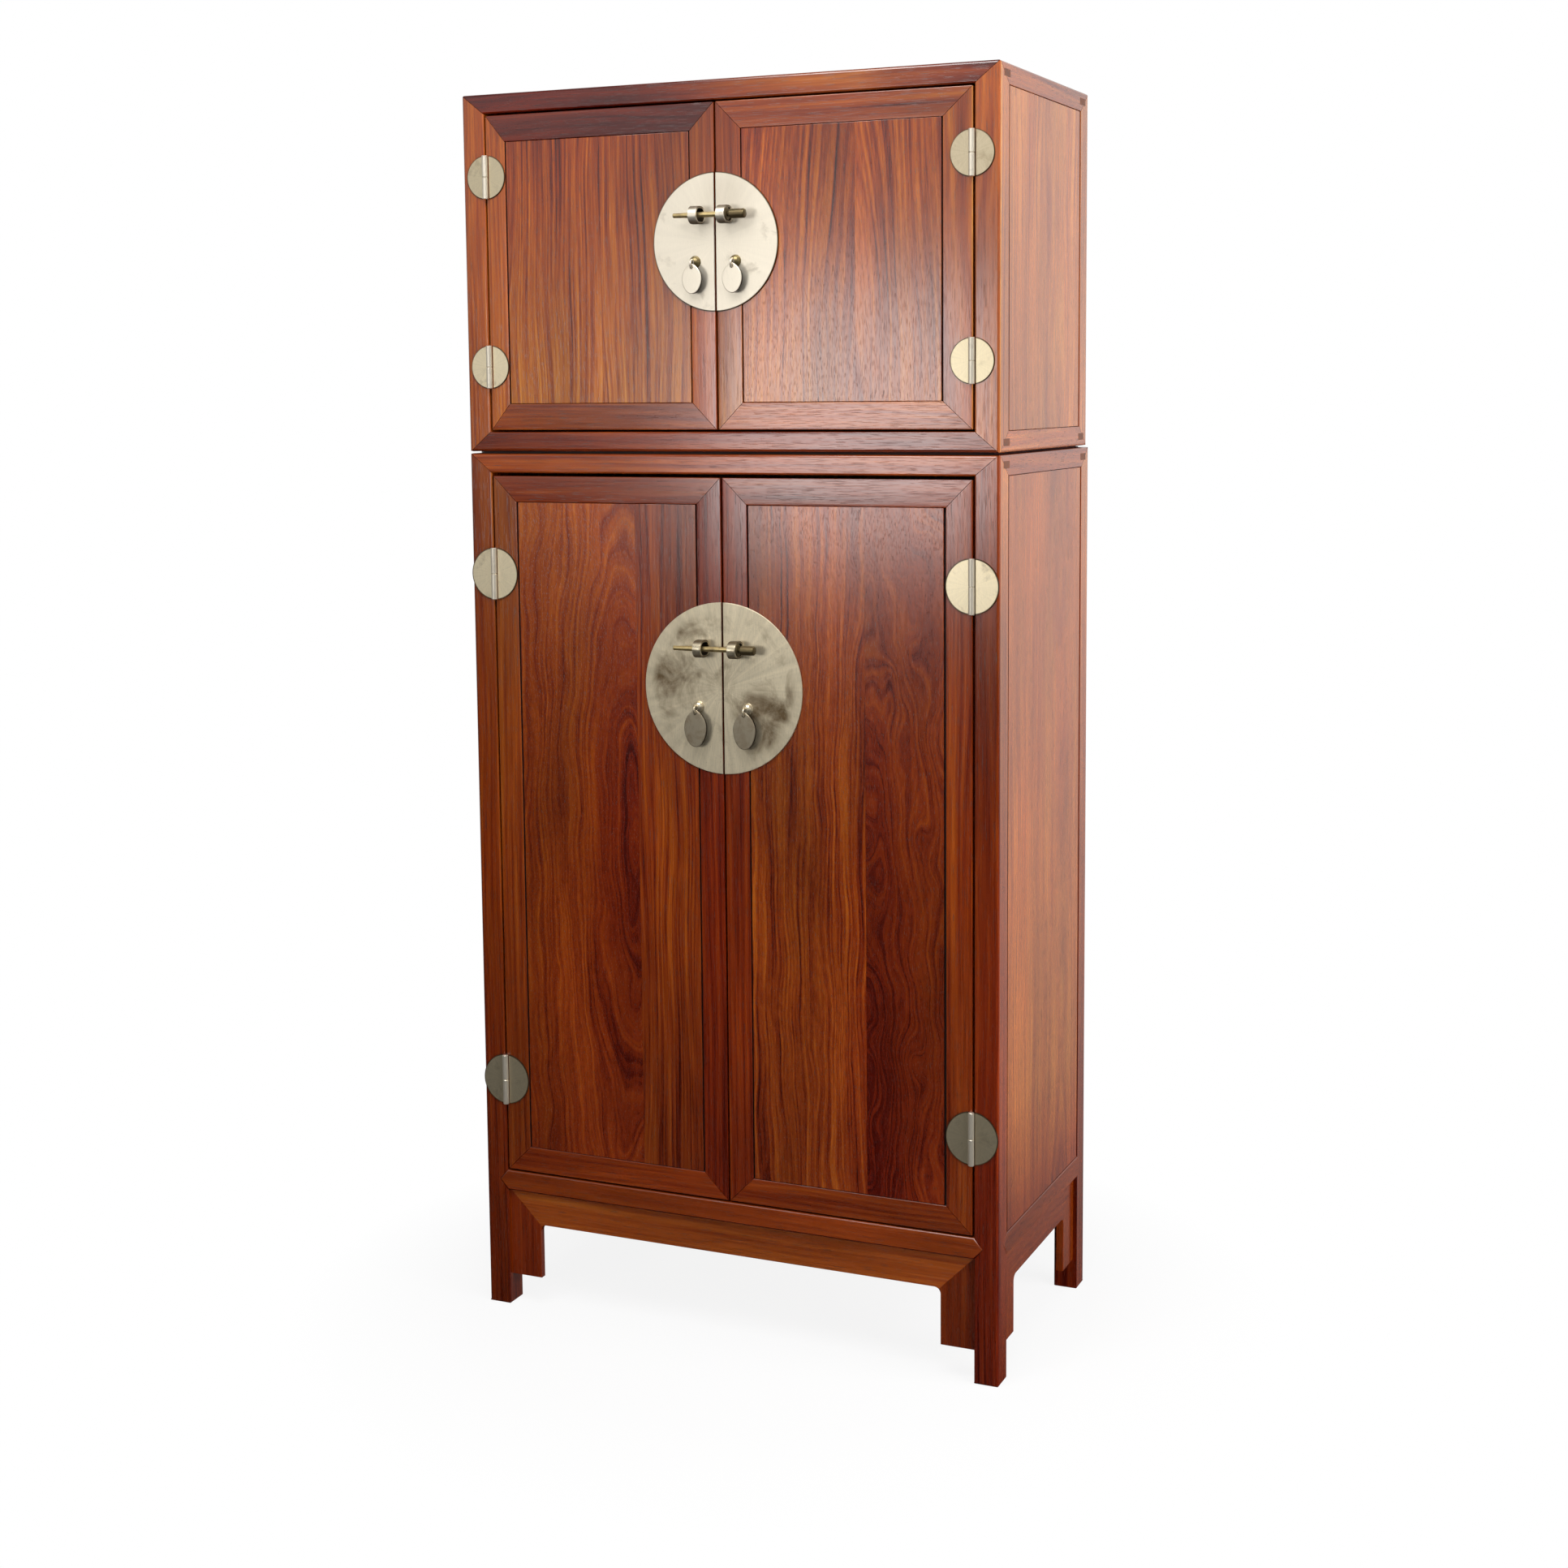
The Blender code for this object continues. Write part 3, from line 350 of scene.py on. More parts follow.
# The door stile with a painted highlight along its outer arris, and its tone there.
HIGHLIGHTED_STILE = "upper_right_door_right_stile"
STILE_HIGHLIGHT_TONE = 1.85

# The tones of the painted light on the lower left front post's inner arris, at the foot and at the head.
LIT_ARRIS = (0.50, 1.25)

# Rosewood: how fast each part of its figure changes along the grain and across it, per metre.
WANDER_PACE = (2.4, 9.0, 9.0)
BURL_PACE = (7.0, 16.0, 16.0)
STREAK_PACE = (1.3, 34.0, 34.0)
FLECK_PACE = (7.0, 240.0, 240.0)
CLOUD_PACE = (1.6, 6.0, 6.0)
FIBRE_PACE = (10.0, 480.0, 480.0)
PORE_PACE = (34.0, 1050.0, 1050.0)
RING_DRIFT = 1.6

# The levels of noise between which a pore of the wood opens and a spot on the brass shows.
PORE_LEVELS = (0.64, 0.74)
SPOT_LEVELS = (0.66, 0.76)

# How far from the heart its dark wood reaches and is full, how much darker it is, and how far a burl pushes
# the rings.
HEART_REACH = (0.115, 0.015)
HEART_DARKENS = 0.42
BURL_PUSH = 0.16

# The shares of the figure that are drawn by the rings and by the rest, and how each tints the wood: the
# values between which it works and the shares of the colour there.
RING_SHARE = 0.60
FIGURE_SHARES = {"Streaks": 0.22, "Flecks": 0.18}
ROSEWOOD_TINTS = {
    "Cloud": (0.28, 0.72, 0.68, 1.32),
    "Fibre": (0.25, 0.75, 0.84, 1.15),
    "Pores": (0.0, 1.0, 1.0, 0.55),
}
PLAIN_TINTS = {"Fibre": (0.25, 0.75, 0.84, 1.12), "Pores": (0.0, 1.0, 1.0, 0.62)}

# The powers of tone between which the polish gives way to a dull groove.
DULL_POWERS = (2.0, 2.5)

# Brass: how fast its rubbing marks, its spots and its rays of painted sheen change; the rays go by the turn
# round the plate.
RUBBING_PACE = (900.0, 240.0, 60.0)
SPOT_PACE = (420.0, 420.0, 420.0)
RAY_PACE = (9.0, 1.0, 1.0)

# How points that count as past the rim are painted in shade: the reaches between which they darken, and the
# shares of the colour there.
PAINTED_SHADE_SIDES = (1.02, 1.10, 1.0, 0.20)

# End grain: how fast its mottle and its pores change, per metre.
MOTTLE_PACE = (140.0, 140.0, 140.0)
END_PORE_PACE = (900.0, 900.0, 900.0)

# What glossy rays see: the walls in front of the cabinet and behind it, where the two meet, and how the
# ceiling dims them. Each has the slopes between which it changes, and the levels there.
FRONT_WALL = (-0.09, 0.11, 0.0, 0.62)
BACK_WALL = (-0.42, -0.02, 0.0, 0.82)
WALLS_MEET = (-0.3, 0.3)
CEILING = (0.30, 0.70, 1.0, 0.30)

# Floor: its radius, its place under the feet, the grey that takes the shadow, and how white the camera sees
# it: the distances between which that changes, and the shares of white there.
FLOOR_RADIUS = 9.0
FLOOR_DROP = 0.0003
FLOOR_GREY = 0.80
FLOOR_WHITE = (0.60, 0.98, 0.88, 1.0)

# Softboxes: where each stands, where it points, its width and height, and whether glossy rays see it.
Softbox = namedtuple("Softbox", "place target size mirrored")
SOFTBOXES = {
    "front": Softbox((-1.26, -4.20, 1.70), (0.25, -0.25, 1.70), (1.15, 0.95), True),
    "top": Softbox((0.25, -2.0, 4.0), (0.0, 0.0, 1.6), (2.6, 1.8), True),
    "side": Softbox((4.0, -0.9, 1.75), (0.4, 0.0, 1.3), (3.4, 2.2), False),
}
SENSOR_WIDTH = 36.0


def length_setting(label, description, default):
    return FloatProperty(name=label, description=description, default=default, min=0.0,
                         unit="LENGTH", subtype="DISTANCE", precision=5)


def colour_setting(label, description, default):
    return FloatVectorProperty(name=label, description=description, default=default, size=3,
                               min=0.0, max=1.0, subtype="COLOR")


def share_setting(label, description, default):
    return FloatProperty(name=label, description=description, default=default, min=0.0, max=1.0,
                         subtype="FACTOR")


class CabinetJoinery(bpy.types.PropertyGroup):
    post_arris: length_setting("Post arris", "Radius of the posts' outer arrises", 0.0055)
    rail_arris: length_setting("Rail arris", "Radius of the case rails' outer arrises", 0.0052)
    opening_arris: length_setting("Opening arris", "Radius of the arrises round the doors", 0.0038)
    door_arris: length_setting("Door arris", "Radius of the doors' outer arrises", 0.0015)
    small_arris: length_setting("Small arris", "Radius of the arrises that are only eased", 0.0010)
    foot_arris: length_setting("Foot arris", "Radius at the bottom of the feet", 0.0030)
    mitre_gap: length_setting("Mitre gap", "Width of the line at each mitre", 0.0008)
    door_crown: length_setting("Door crown", "Rise of the door members across their faces", 0.0003)
    shrinkage: length_setting("Shrinkage", "Extra gap at each side of a door panel", 0.0018)


class CabinetFinish(bpy.types.PropertyGroup):
    wood_deep: colour_setting("Deep rings", "Darkest lines of the rosewood", (0.045, 0.0045, 0.0008))
    wood_dark: colour_setting("Dark rings", "Dark bands of the rosewood", (0.130, 0.0150, 0.0012))
    wood_mid: colour_setting("Ground", "Ground colour of the rosewood", (0.225, 0.0420, 0.0028))
    wood_pale: colour_setting("Pale rings", "Palest bands of the rosewood", (0.340, 0.0920, 0.0065))
    inner_wood: colour_setting("Inner wood", "Ground colour of the plain inner boards",
                               (0.300, 0.1350, 0.0520))
    end_grain: colour_setting("End grain", "Colour of the tenon ends", (0.170, 0.0560, 0.0240))
    pale_brass: colour_setting("Pale brass", "Colour of the upper plate", (0.790, 0.715, 0.585))
    hinge_brass: colour_setting("Hinge brass", "Colour of the hinges", (0.690, 0.590, 0.400))
    bright_hinge: colour_setting("Bright hinge", "Colour of the brighter hinges", (0.900, 0.775, 0.535))
    dull_hinge: colour_setting("Dull hinge", "Colour of the duller hinge", (0.500, 0.420, 0.285))
    dull_brass: colour_setting("Dull brass", "Colour of the lower plate", (0.680, 0.590, 0.420))
    pull_brass: colour_setting("Pull brass", "Colour of the lower pulls", (0.370, 0.315, 0.225))
    tarnish: colour_setting("Tarnish", "Colour of the tarnish on the brass", (0.160, 0.108, 0.056))
    bolt_brass: colour_setting("Bolt brass", "Colour of the bolts' rods", (0.560, 0.430, 0.200))
    boss_brass: colour_setting("Boss brass", "Colour of the upper bosses", (0.250, 0.200, 0.090))
    stub_brass: colour_setting("Stub brass", "Colour of the bolts' collars and stubs", (0.115, 0.090, 0.042))
    wood_gloss: share_setting("Wood roughness", "Roughness of the polished rosewood", 0.19)
    wood_polish: share_setting("Wood polish", "Specular level of the polished rosewood", 0.85)
    wax: share_setting("Wax", "Weight of the wax over the rosewood", 0.35)


class CabinetStudio(bpy.types.PropertyGroup):
    camera_place: FloatVectorProperty(name="Camera", description="Where the camera stands", size=3,
                                      default=(1.7804, -4.03955, 1.7977), subtype="TRANSLATION",
                                      unit="LENGTH")
    camera_turn: FloatVectorProperty(name="Camera turn", description="Roll, pitch and heading of the camera",
                                     size=3, subtype="EULER", unit="ROTATION",
                                     default=(math.radians(-0.505), math.radians(90 - 6.527),
                                              math.radians(23.664)))
    lens: FloatProperty(name="Lens", description="Focal length on a 36 mm sensor", default=52.73,
                        unit="CAMERA")
    rise: FloatProperty(name="Shift", description="Vertical shift of the frame", default=-0.0846)
    backdrop: colour_setting("Backdrop", "Colour of the floor and the backdrop", (1.0, 1.0, 1.0))
    room: share_setting("Room light", "Level of the light from all round", 0.10)
    front_power: FloatProperty(name="Front softbox", description="Power of the softbox in front",
                               default=17.5, unit="POWER")
    top_power: FloatProperty(name="Top softbox", description="Power of the softbox overhead",
                             default=115.0, unit="POWER")
    side_power: FloatProperty(name="Side softbox", description="Power of the softbox at the right",
                              default=225.0, unit="POWER")


def read_case(name, body):
    """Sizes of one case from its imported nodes."""
    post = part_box(f"{name}_post_front_left")
    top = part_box(f"{name}_top_frame")
    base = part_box(f"{name}_base_frame")
    low = Vector((top[0].x, top[0].y, post[0].z))
    return Case(name, body, low, top[1], post[1] - post[0], base[0].z, base[1].z, top[0].z)


LOWER = read_case("lower", "lower_cabinet")
UPPER = read_case("upper", "upper_chest")


# Shapes

def box_mesh(low, high):
    bm = bmesh.new()
    place = Matrix.Translation((low + high) / 2) @ Matrix.Diagonal((*(high - low), 1.0))
    bmesh.ops.create_cube(bm, size=1.0, matrix=place)
    return bm


def axis_vector(axis, length=1.0):
    vector = Vector((0.0, 0.0, 0.0))
    vector[axis] = length
    return vector


def only(kind, geometry):
    """The vertices, the edges or the faces out of what an operator returns."""
    return [item for item in geometry if isinstance(item, kind)]


def runs_along(edge, axis):
    run = edge.verts[1].co - edge.verts[0].co
    return abs(run[axis]) > 0.999 * run.length


def lies_at(edge, axis, place):
    return all(abs(vert.co[axis] - place) < TOUCH for vert in edge.verts)


def rim_edges(bm, axis, place):
    """Edges that lie wholly at a place on an axis."""
    return [edge for edge in bm.edges if lies_at(edge, axis, place)]


def edges_at(bm, axis, places):
    """Edges that run along an axis at the given places on the other axes."""
    found = []
    for edge in bm.edges:
        middle = (edge.verts[0].co + edge.verts[1].co) / 2
        level = all(abs(middle[index] - value) < TOUCH for index, value in places.items())
        if level and runs_along(edge, axis):
            found.append(edge)
    return found


def round_over(bm, edges, radius, segments=5):
    bmesh.ops.bevel(bm, geom=edges, offset=radius, offset_type="OFFSET", segments=segments,
                    profile=0.5, affect="EDGES", clamp_overlap=True, material=-1)


def sharp_edges(bm, angle=math.radians(50)):
    return [edge for edge in bm.edges if len(edge.link_faces) == 2 and edge.calc_face_angle() > angle]


def cut_through(bm, point, normal, clear=False):
    """Cuts every face that a plane crosses and, if asked, clears what lies on the normal's side."""
    everything = [*bm.verts, *bm.edges, *bm.faces]
    return bmesh.ops.bisect_plane(bm, geom=everything, dist=CUT_SNAP, plane_co=point, plane_no=normal,
                                  clear_outer=clear)


def trim(bm, point, normal):
    """Cuts away what lies on the normal's side of a plane and closes the cut."""
    cut = cut_through(bm, point, normal, clear=True)
    bmesh.ops.edgeloop_fill(bm, edges=only(bmesh.types.BMEdge, cut["geom_cut"]))


def mitre(bm, free, inner, outer, keep, gap):
    """Cuts a member on the plane through two corners that lies along the free axis."""
    run = outer - inner
    run[free] = 0.0
    normal = run.cross(axis_vector(free)).normalized()
    if (keep - inner).dot(normal) > 0:
        normal.negate()
    trim(bm, inner - normal * gap / 2, normal)


def extrude_faces(bm, faces, run):
    made = bmesh.ops.extrude_face_region(bm, geom=faces)
    bmesh.ops.translate(bm, verts=only(bmesh.types.BMVert, made["geom"]), vec=run)
    return only(bmesh.types.BMFace, made["geom"])


def outline_face(bm, points):
    return bm.faces.new([bm.verts.new(point) for point in points])


def crown_face(bm, across, low, high, front, rise):
    """Lets a member's front fall away towards both its edges."""
    bmesh.ops.subdivide_edges(bm, edges=[edge for edge in bm.edges if runs_along(edge, across)],
                              cuts=CROWN_CUTS, use_grid_fill=True)
    for vert in bm.verts:
        if abs(vert.co.y - front) < TOUCH:
            share = 2 * (vert.co[across] - low) / (high - low) - 1
            vert.co.y += rise * share ** 2


def turned(profile, place, axis, steps=32):
    """A solid turned round an axis from pairs of distance along it and radius."""
    bm = bmesh.new()
    axis = Vector(axis)
    across = axis.orthogonal().normalized()
    verts = [bm.verts.new(Vector(place) + axis * along + across * radius) for along, radius in profile]
    edges = [bm.edges.new(pair) for pair in zip(verts, verts[1:])]
    bmesh.ops.spin(bm, geom=[*verts, *edges], cent=place, axis=axis, angle=FULL_TURN, steps=steps,
                   use_merge=True)
    bmesh.ops.remove_doubles(bm, verts=bm.verts, dist=MERGE_WITHIN)
    return bm


def half_disc(centre, radius, side, from_centre, segments):
    """Half a round plate in the door's plane, its straight edge a little off the centre."""
    bm = bmesh.new()
    upright = Matrix.Translation(centre) @ Matrix.Rotation(QUARTER_TURN, 4, "X")
    bmesh.ops.create_circle(bm, cap_ends=True, segments=segments, radius=radius, matrix=upright)
    cut_through(bm, centre + axis_vector(X, side * from_centre), axis_vector(X, -side), clear=True)
    front = extrude_faces(bm, list(bm.faces), axis_vector(Y, -PLATE_THICKNESS))
    round_over(bm, list({edge for face in front for edge in face.edges}), PLATE_EASE, 3)
    return bm


# Pieces

def default_log(name):
    draw = random.Random(name)
    side = draw.choice((-1, 1))
    across, along, tilt, depth = (draw.uniform(*span) for span in PLAIN_LOG)
    return Log(side * across, along, tilt, depth)


def fitting(table, name, default):
    """The entry of the longest key that starts a piece's name."""
    key = max((start for start in table if name.startswith(start)), key=len, default=None)
    return table.get(key, default)


def part_way(first, last, share):
    return first + (last - first) * share


def tone_at(stops, place):
    """The tone at a place along the grain, on straight lines from stop to stop."""
    for (low, first), (high, last) in zip(stops, stops[1:]):
        if place < high:
            return part_way(first, last, max(0.0, place - low) / (high - low))
    return stops[-1][1]


def cut_at_stops(bm, axis, stops):
    """Gives a piece points wherever its tone turns."""
    for place, _ in stops[1:-1]:
        cut_through(bm, axis_vector(axis, place), axis_vector(axis))


def tone_power(tone):
    """The power that takes the ground's red to a share of itself; the other colours fall faster."""
    return 1.0 + math.log(tone) / math.log(GROUND_RED)


def lay_grain(mesh, name, axis, face_axis, own_tone):
    """Writes each point's place in its tree: along the heart, across from it and behind it."""
    log = BOARD_LOGS.get(name) or default_log(name)
    shift = random.Random(f"{name} shift").uniform(0.0, TREE_LENGTH)
    across = 3 - axis - face_axis
    corners = [vert.co for vert in mesh.vertices]
    middle = [(min(co[i] for co in corners) + max(co[i] for co in corners)) / 2 for i in range(3)]
    first, last = fitting(TONES, name, (1.0, 1.0))
    figure = fitting(BOLDNESS, name, 1.0)
    start, end = (pick(co[axis] for co in corners) for pick in (min, max))
    kinds = {"grain": "FLOAT_VECTOR", "tone": "FLOAT", "burl": "FLOAT", "bold": "FLOAT"}
    for label, kind in kinds.items():
        mesh.attributes.new(label, kind, "POINT")
    # A new attribute moves the earlier ones, so all are looked up only now.
    layers = [mesh.attributes[label].data for label in kinds]
    for vert, place, shade, wild, bold in zip(mesh.vertices, *layers):
        along = vert.co[axis]
        behind = vert.co[face_axis] - middle[face_axis] + log.depth + log.tilt * (along - log.along)
        place.vector = (along + shift, vert.co[across] - middle[across] - log.across, behind)
        level = own_tone(vert.co) if own_tone else None
        if level is None:
            level = part_way(first, last, (along - start) / (end - start))
        shade.value = tone_power(level)
        wild.value = BURLS.get(name, 0.0)
        bold.value = figure


def lay_dial(mesh, centre, radius):
    """Writes each point's place on a round plate, with the rim at a length of 1."""
    dial = mesh.attributes.new("dial", "FLOAT_VECTOR", "POINT")
    for vert, place in zip(mesh.vertices, dial.data):
        place.vector = ((vert.co.x - centre[0]) / radius, 0.0, (vert.co.z - centre[2]) / radius)


def lay_reach(mesh, reach):
    """Writes how far out each point of a small brass piece counts: 1 at a painted dark rim, more on sides
    painted in shade.
    """
    dial = mesh.attributes.new("dial", "FLOAT_VECTOR", "POINT")
    for vert, place in zip(mesh.vertices, dial.data):
        place.vector = (reach(vert.co), 0.0, 0.0)


def add_piece(name, bm, body, slot, material, nodes=(), grain=None, dial=None, own_tone=None, reach=None):
    """Adds one piece; own_tone gives the tone of points that differ from the rest, or None."""
    bmesh.ops.recalc_face_normals(bm, faces=bm.faces)
    mesh = bpy.data.meshes.new(name)
    bm.to_mesh(mesh)
    bm.free()
    mesh.materials.append(bpy.data.materials[material])
    mesh.shade_smooth()
    mesh.set_sharp_from_angle(angle=math.radians(40))
    if grain:
        lay_grain(mesh, name, *grain, own_tone)
    if dial:
        lay_dial(mesh, *dial)
    if reach:
        lay_reach(mesh, reach)
    piece = bpy.data.objects.new(name, mesh)
    bpy.context.scene.collection.objects.link(piece)
    level = piece.modifiers.new("flat_faces", "WEIGHTED_NORMAL")
    level.keep_sharp = True
    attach(piece, body)
    if nodes:
        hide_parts(*nodes)
    return piece


def add_panel(node, body, slot, material, face, axis, shares, side_gaps, names=None):
    """A panel of boards glued edge to edge, with a tongue all round.

    face is the axis and side that it shows, axis the way its grain runs, shares the width of each
    board and side_gaps how far the wood has shrunk back from the groove at its two sides.
    """
    low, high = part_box(node)
    face_axis, face_side = face
    across = 3 - axis - face_axis
    joins = [low[across]]
    width = high[across] - low[across]
    for share in shares:
        joins.append(joins[-1] + width * share / sum(shares))
    for index, (start, end) in enumerate(zip(joins, joins[1:]), 1):
        first, last = index == 1, index == len(shares)
        board_low, board_high = low.copy(), high.copy()
        board_low[across] = start + (0.0 if first else GLUE_LINE / 2)
        board_high[across] = end - (0.0 if last else GLUE_LINE / 2)
        tongues = [(axis, -1, 0.0), (axis, 1, 0.0)]
        tongues += [(across, -1, side_gaps[0])] if first else []
        tongues += [(across, 1, side_gaps[1])] if last else []
        bm = panel_board(board_low, board_high, face_axis, face_side, tongues)
        name = f"{names or node}_board_{index}"
        shown = (high if face_side > 0 else low)[face_axis]
        groove_shade_from = GROOVE_FROM[face_axis]
        stops = fitting(TONE_STOPS, name, ())
        cut_at_stops(bm, axis, stops)

        def own_tone(co):
            # The groove round the board is painted in shade.
            deep = (shown - co[face_axis]) * face_side
            if groove_shade_from < deep < FACE_RISE + GROOVE_SLACK:
                return GROOVE_SHADE_TONE
            return tone_at(stops, co[axis]) if stops else None

        add_piece(name, bm, body, slot, material, [node], (axis, face_axis), own_tone=own_tone)


def panel_board(low, high, face_axis, face_side, tongues):
    """One board: a slab as thick as the tongue, with its field raised on both faces."""
    slab_low, slab_high = low.copy(), high.copy()
    rises = (BACK_RISE, FACE_RISE) if face_side > 0 else (FACE_RISE, BACK_RISE)
    slab_low[face_axis] += rises[0]
    slab_high[face_axis] -= rises[1]
    bm = box_mesh(slab_low, slab_high)
    for axis, end, gap in tongues:
        shoulder = slab_low.copy() if end < 0 else slab_high.copy()
        shoulder[axis] -= end * (TONGUE + gap)
        cut_through(bm, shoulder, axis_vector(axis))
    for side, rise in zip((-1, 1), rises):
        bm.normal_update()
        level = [face for face in bm.faces if face.normal[face_axis] * side > 0.99]
        field = max(level, key=lambda face: face.calc_area())
        raised = extrude_faces(bm, [field], axis_vector(face_axis, side * rise))
        bmesh.ops.delete(bm, geom=[field], context="FACES_ONLY")
        if side == face_side:
            eased = shoulder_edges(raised[0], tongues, slab_low, slab_high)
            round_over(bm, eased, bpy.context.scene.cabinet_joinery.small_arris, 3)
    return bm


def shoulder_edges(field, tongues, low, high):
    """The edges of a raised field that stand over a tongue."""
    found = set()
    for axis, end, gap in tongues:
        shoulder = (low if end < 0 else high)[axis] - end * (TONGUE + gap)
        found.update(edge for edge in field.edges if lies_at(edge, axis, shoulder))
    return list(found)


def notch(bm, cutters):
    """Cuts solids out of a mesh and returns what is left of it."""
    objects = []
    for index, source in enumerate([bm, *cutters]):
        mesh = bpy.data.meshes.new(f"notch_{index}")
        bmesh.ops.recalc_face_normals(source, faces=source.faces)
        source.to_mesh(mesh)
        source.free()
        objects.append(bpy.data.objects.new(f"notch_{index}", mesh))
        bpy.context.scene.collection.objects.link(objects[-1])
    for cutter in objects[1:]:
        cut = objects[0].modifiers.new("cut", "BOOLEAN")
        cut.object = cutter
        cut.solver = "EXACT"
    graph = bpy.context.evaluated_depsgraph_get()
    left = bmesh.new()
    left.from_object(objects[0], graph)
    for item in objects:
        spare = item.data
        bpy.data.objects.remove(item, do_unlink=True)
        bpy.data.meshes.remove(spare)
    return left


def arrow_board(case, side, grow=0.0):
    """The face board of a base rail: side 0 is the front one, LEFT and RIGHT the others."""
    middle_z = (case.base_low + case.base_high) / 2
    half = (case.base_high - case.base_low) / 2 + grow
    if side == 0:
        start, end = case.low.x + case.post.x, case.high.x - case.post.x
    else:
        start, end = case.low.y + case.post.y, case.high.y - case.post.y
    tip = ARROW_LENGTH + grow
    outline = [(start - tip, 0.0), (start - grow, -half), (end + grow, -half), (end + tip, 0.0),
               (end + grow, half), (start - grow, half)]
    bm = bmesh.new()
    depth = ARROW_DEPTH + ARROW_PROUD + 2 * grow
    if side == 0:
        axis, run, arris = Y, depth, FRONT_ARROW_ARRIS
        face_at = case.low.y - ARROW_PROUD
        shown = outline_face(bm, [(along, face_at, middle_z + up) for along, up in outline])
    else:
        axis, run, arris = X, -side * depth, SIDE_ARROW_ARRIS
        face_at = (case.high.x if side > 0 else case.low.x) + side * ARROW_PROUD
        shown = outline_face(bm, [(face_at, along, middle_z + up) for along, up in outline])
    extrude_faces(bm, [shown], axis_vector(axis, run))
    if not grow:
        round_over(bm, rim_edges(bm, axis, face_at), arris, 4)
    return bm


# Materials

def set_inputs(tree, node, inputs):
    """Gives a node's inputs their values, or the sockets that feed them."""
    for key, value in inputs.items():
        if isinstance(value, bpy.types.NodeSocket):
            tree.links.new(value, node.inputs[key])
        else:
            node.inputs[key].default_value = value


def add_node(tree, kind, inputs=None, **settings):
    node = tree.nodes.new(kind)
    for name, value in settings.items():
        setattr(node, name, value)
    set_inputs(tree, node, inputs or {})
    return node


def start_group(name, inputs, outputs):
    group = bpy.data.node_groups.new(name, "ShaderNodeTree")
    for label, kind in inputs:
        group.interface.new_socket(label, in_out="INPUT", socket_type=f"NodeSocket{kind}")
    for label in outputs:
        group.interface.new_socket(label, in_out="OUTPUT", socket_type="NodeSocketFloat")
    return group, group.nodes.new("NodeGroupInput").outputs, group.nodes.new("NodeGroupOutput")


def add_group(tree, name, inputs):
    return add_node(tree, "ShaderNodeGroup", inputs, node_tree=bpy.data.node_groups[name]).outputs


def attribute(tree, name, output="Fac"):
    """Reads one of the attributes that are laid on the pieces."""
    return add_node(tree, "ShaderNodeAttribute", attribute_name=name).outputs[output]


def vector_math(tree, operation, inputs):
    """The outcome of a vector operation: a value for a length or a distance, else a vector."""
    outputs = add_node(tree, "ShaderNodeVectorMath", inputs, operation=operation).outputs
    return outputs["Value" if operation in ("LENGTH", "DISTANCE") else "Vector"]


def stretched_noise(tree, vector, pace, detail, roughness=0.5):
    """Noise that changes at a pace of its own along each axis."""
    scaled = vector_math(tree, "MULTIPLY", {0: vector, 1: pace})
    return add_node(tree, "ShaderNodeTexNoise", {"Vector": scaled, "Scale": 1.0, "Detail": detail,
                                                 "Roughness": roughness}).outputs


def between(tree, value, start, end, low=0.0, high=1.0):
    """Maps a range of a value to another range, clamped."""
    node = add_node(tree, "ShaderNodeMapRange", {"Value": value, "From Min": start, "From Max": end,
                                                 "To Min": low, "To Max": high})
    return node.outputs[0]


def reckon(tree, operation, first, second):
    return add_node(tree, "ShaderNodeMath", {0: first, 1: second}, operation=operation).outputs[0]


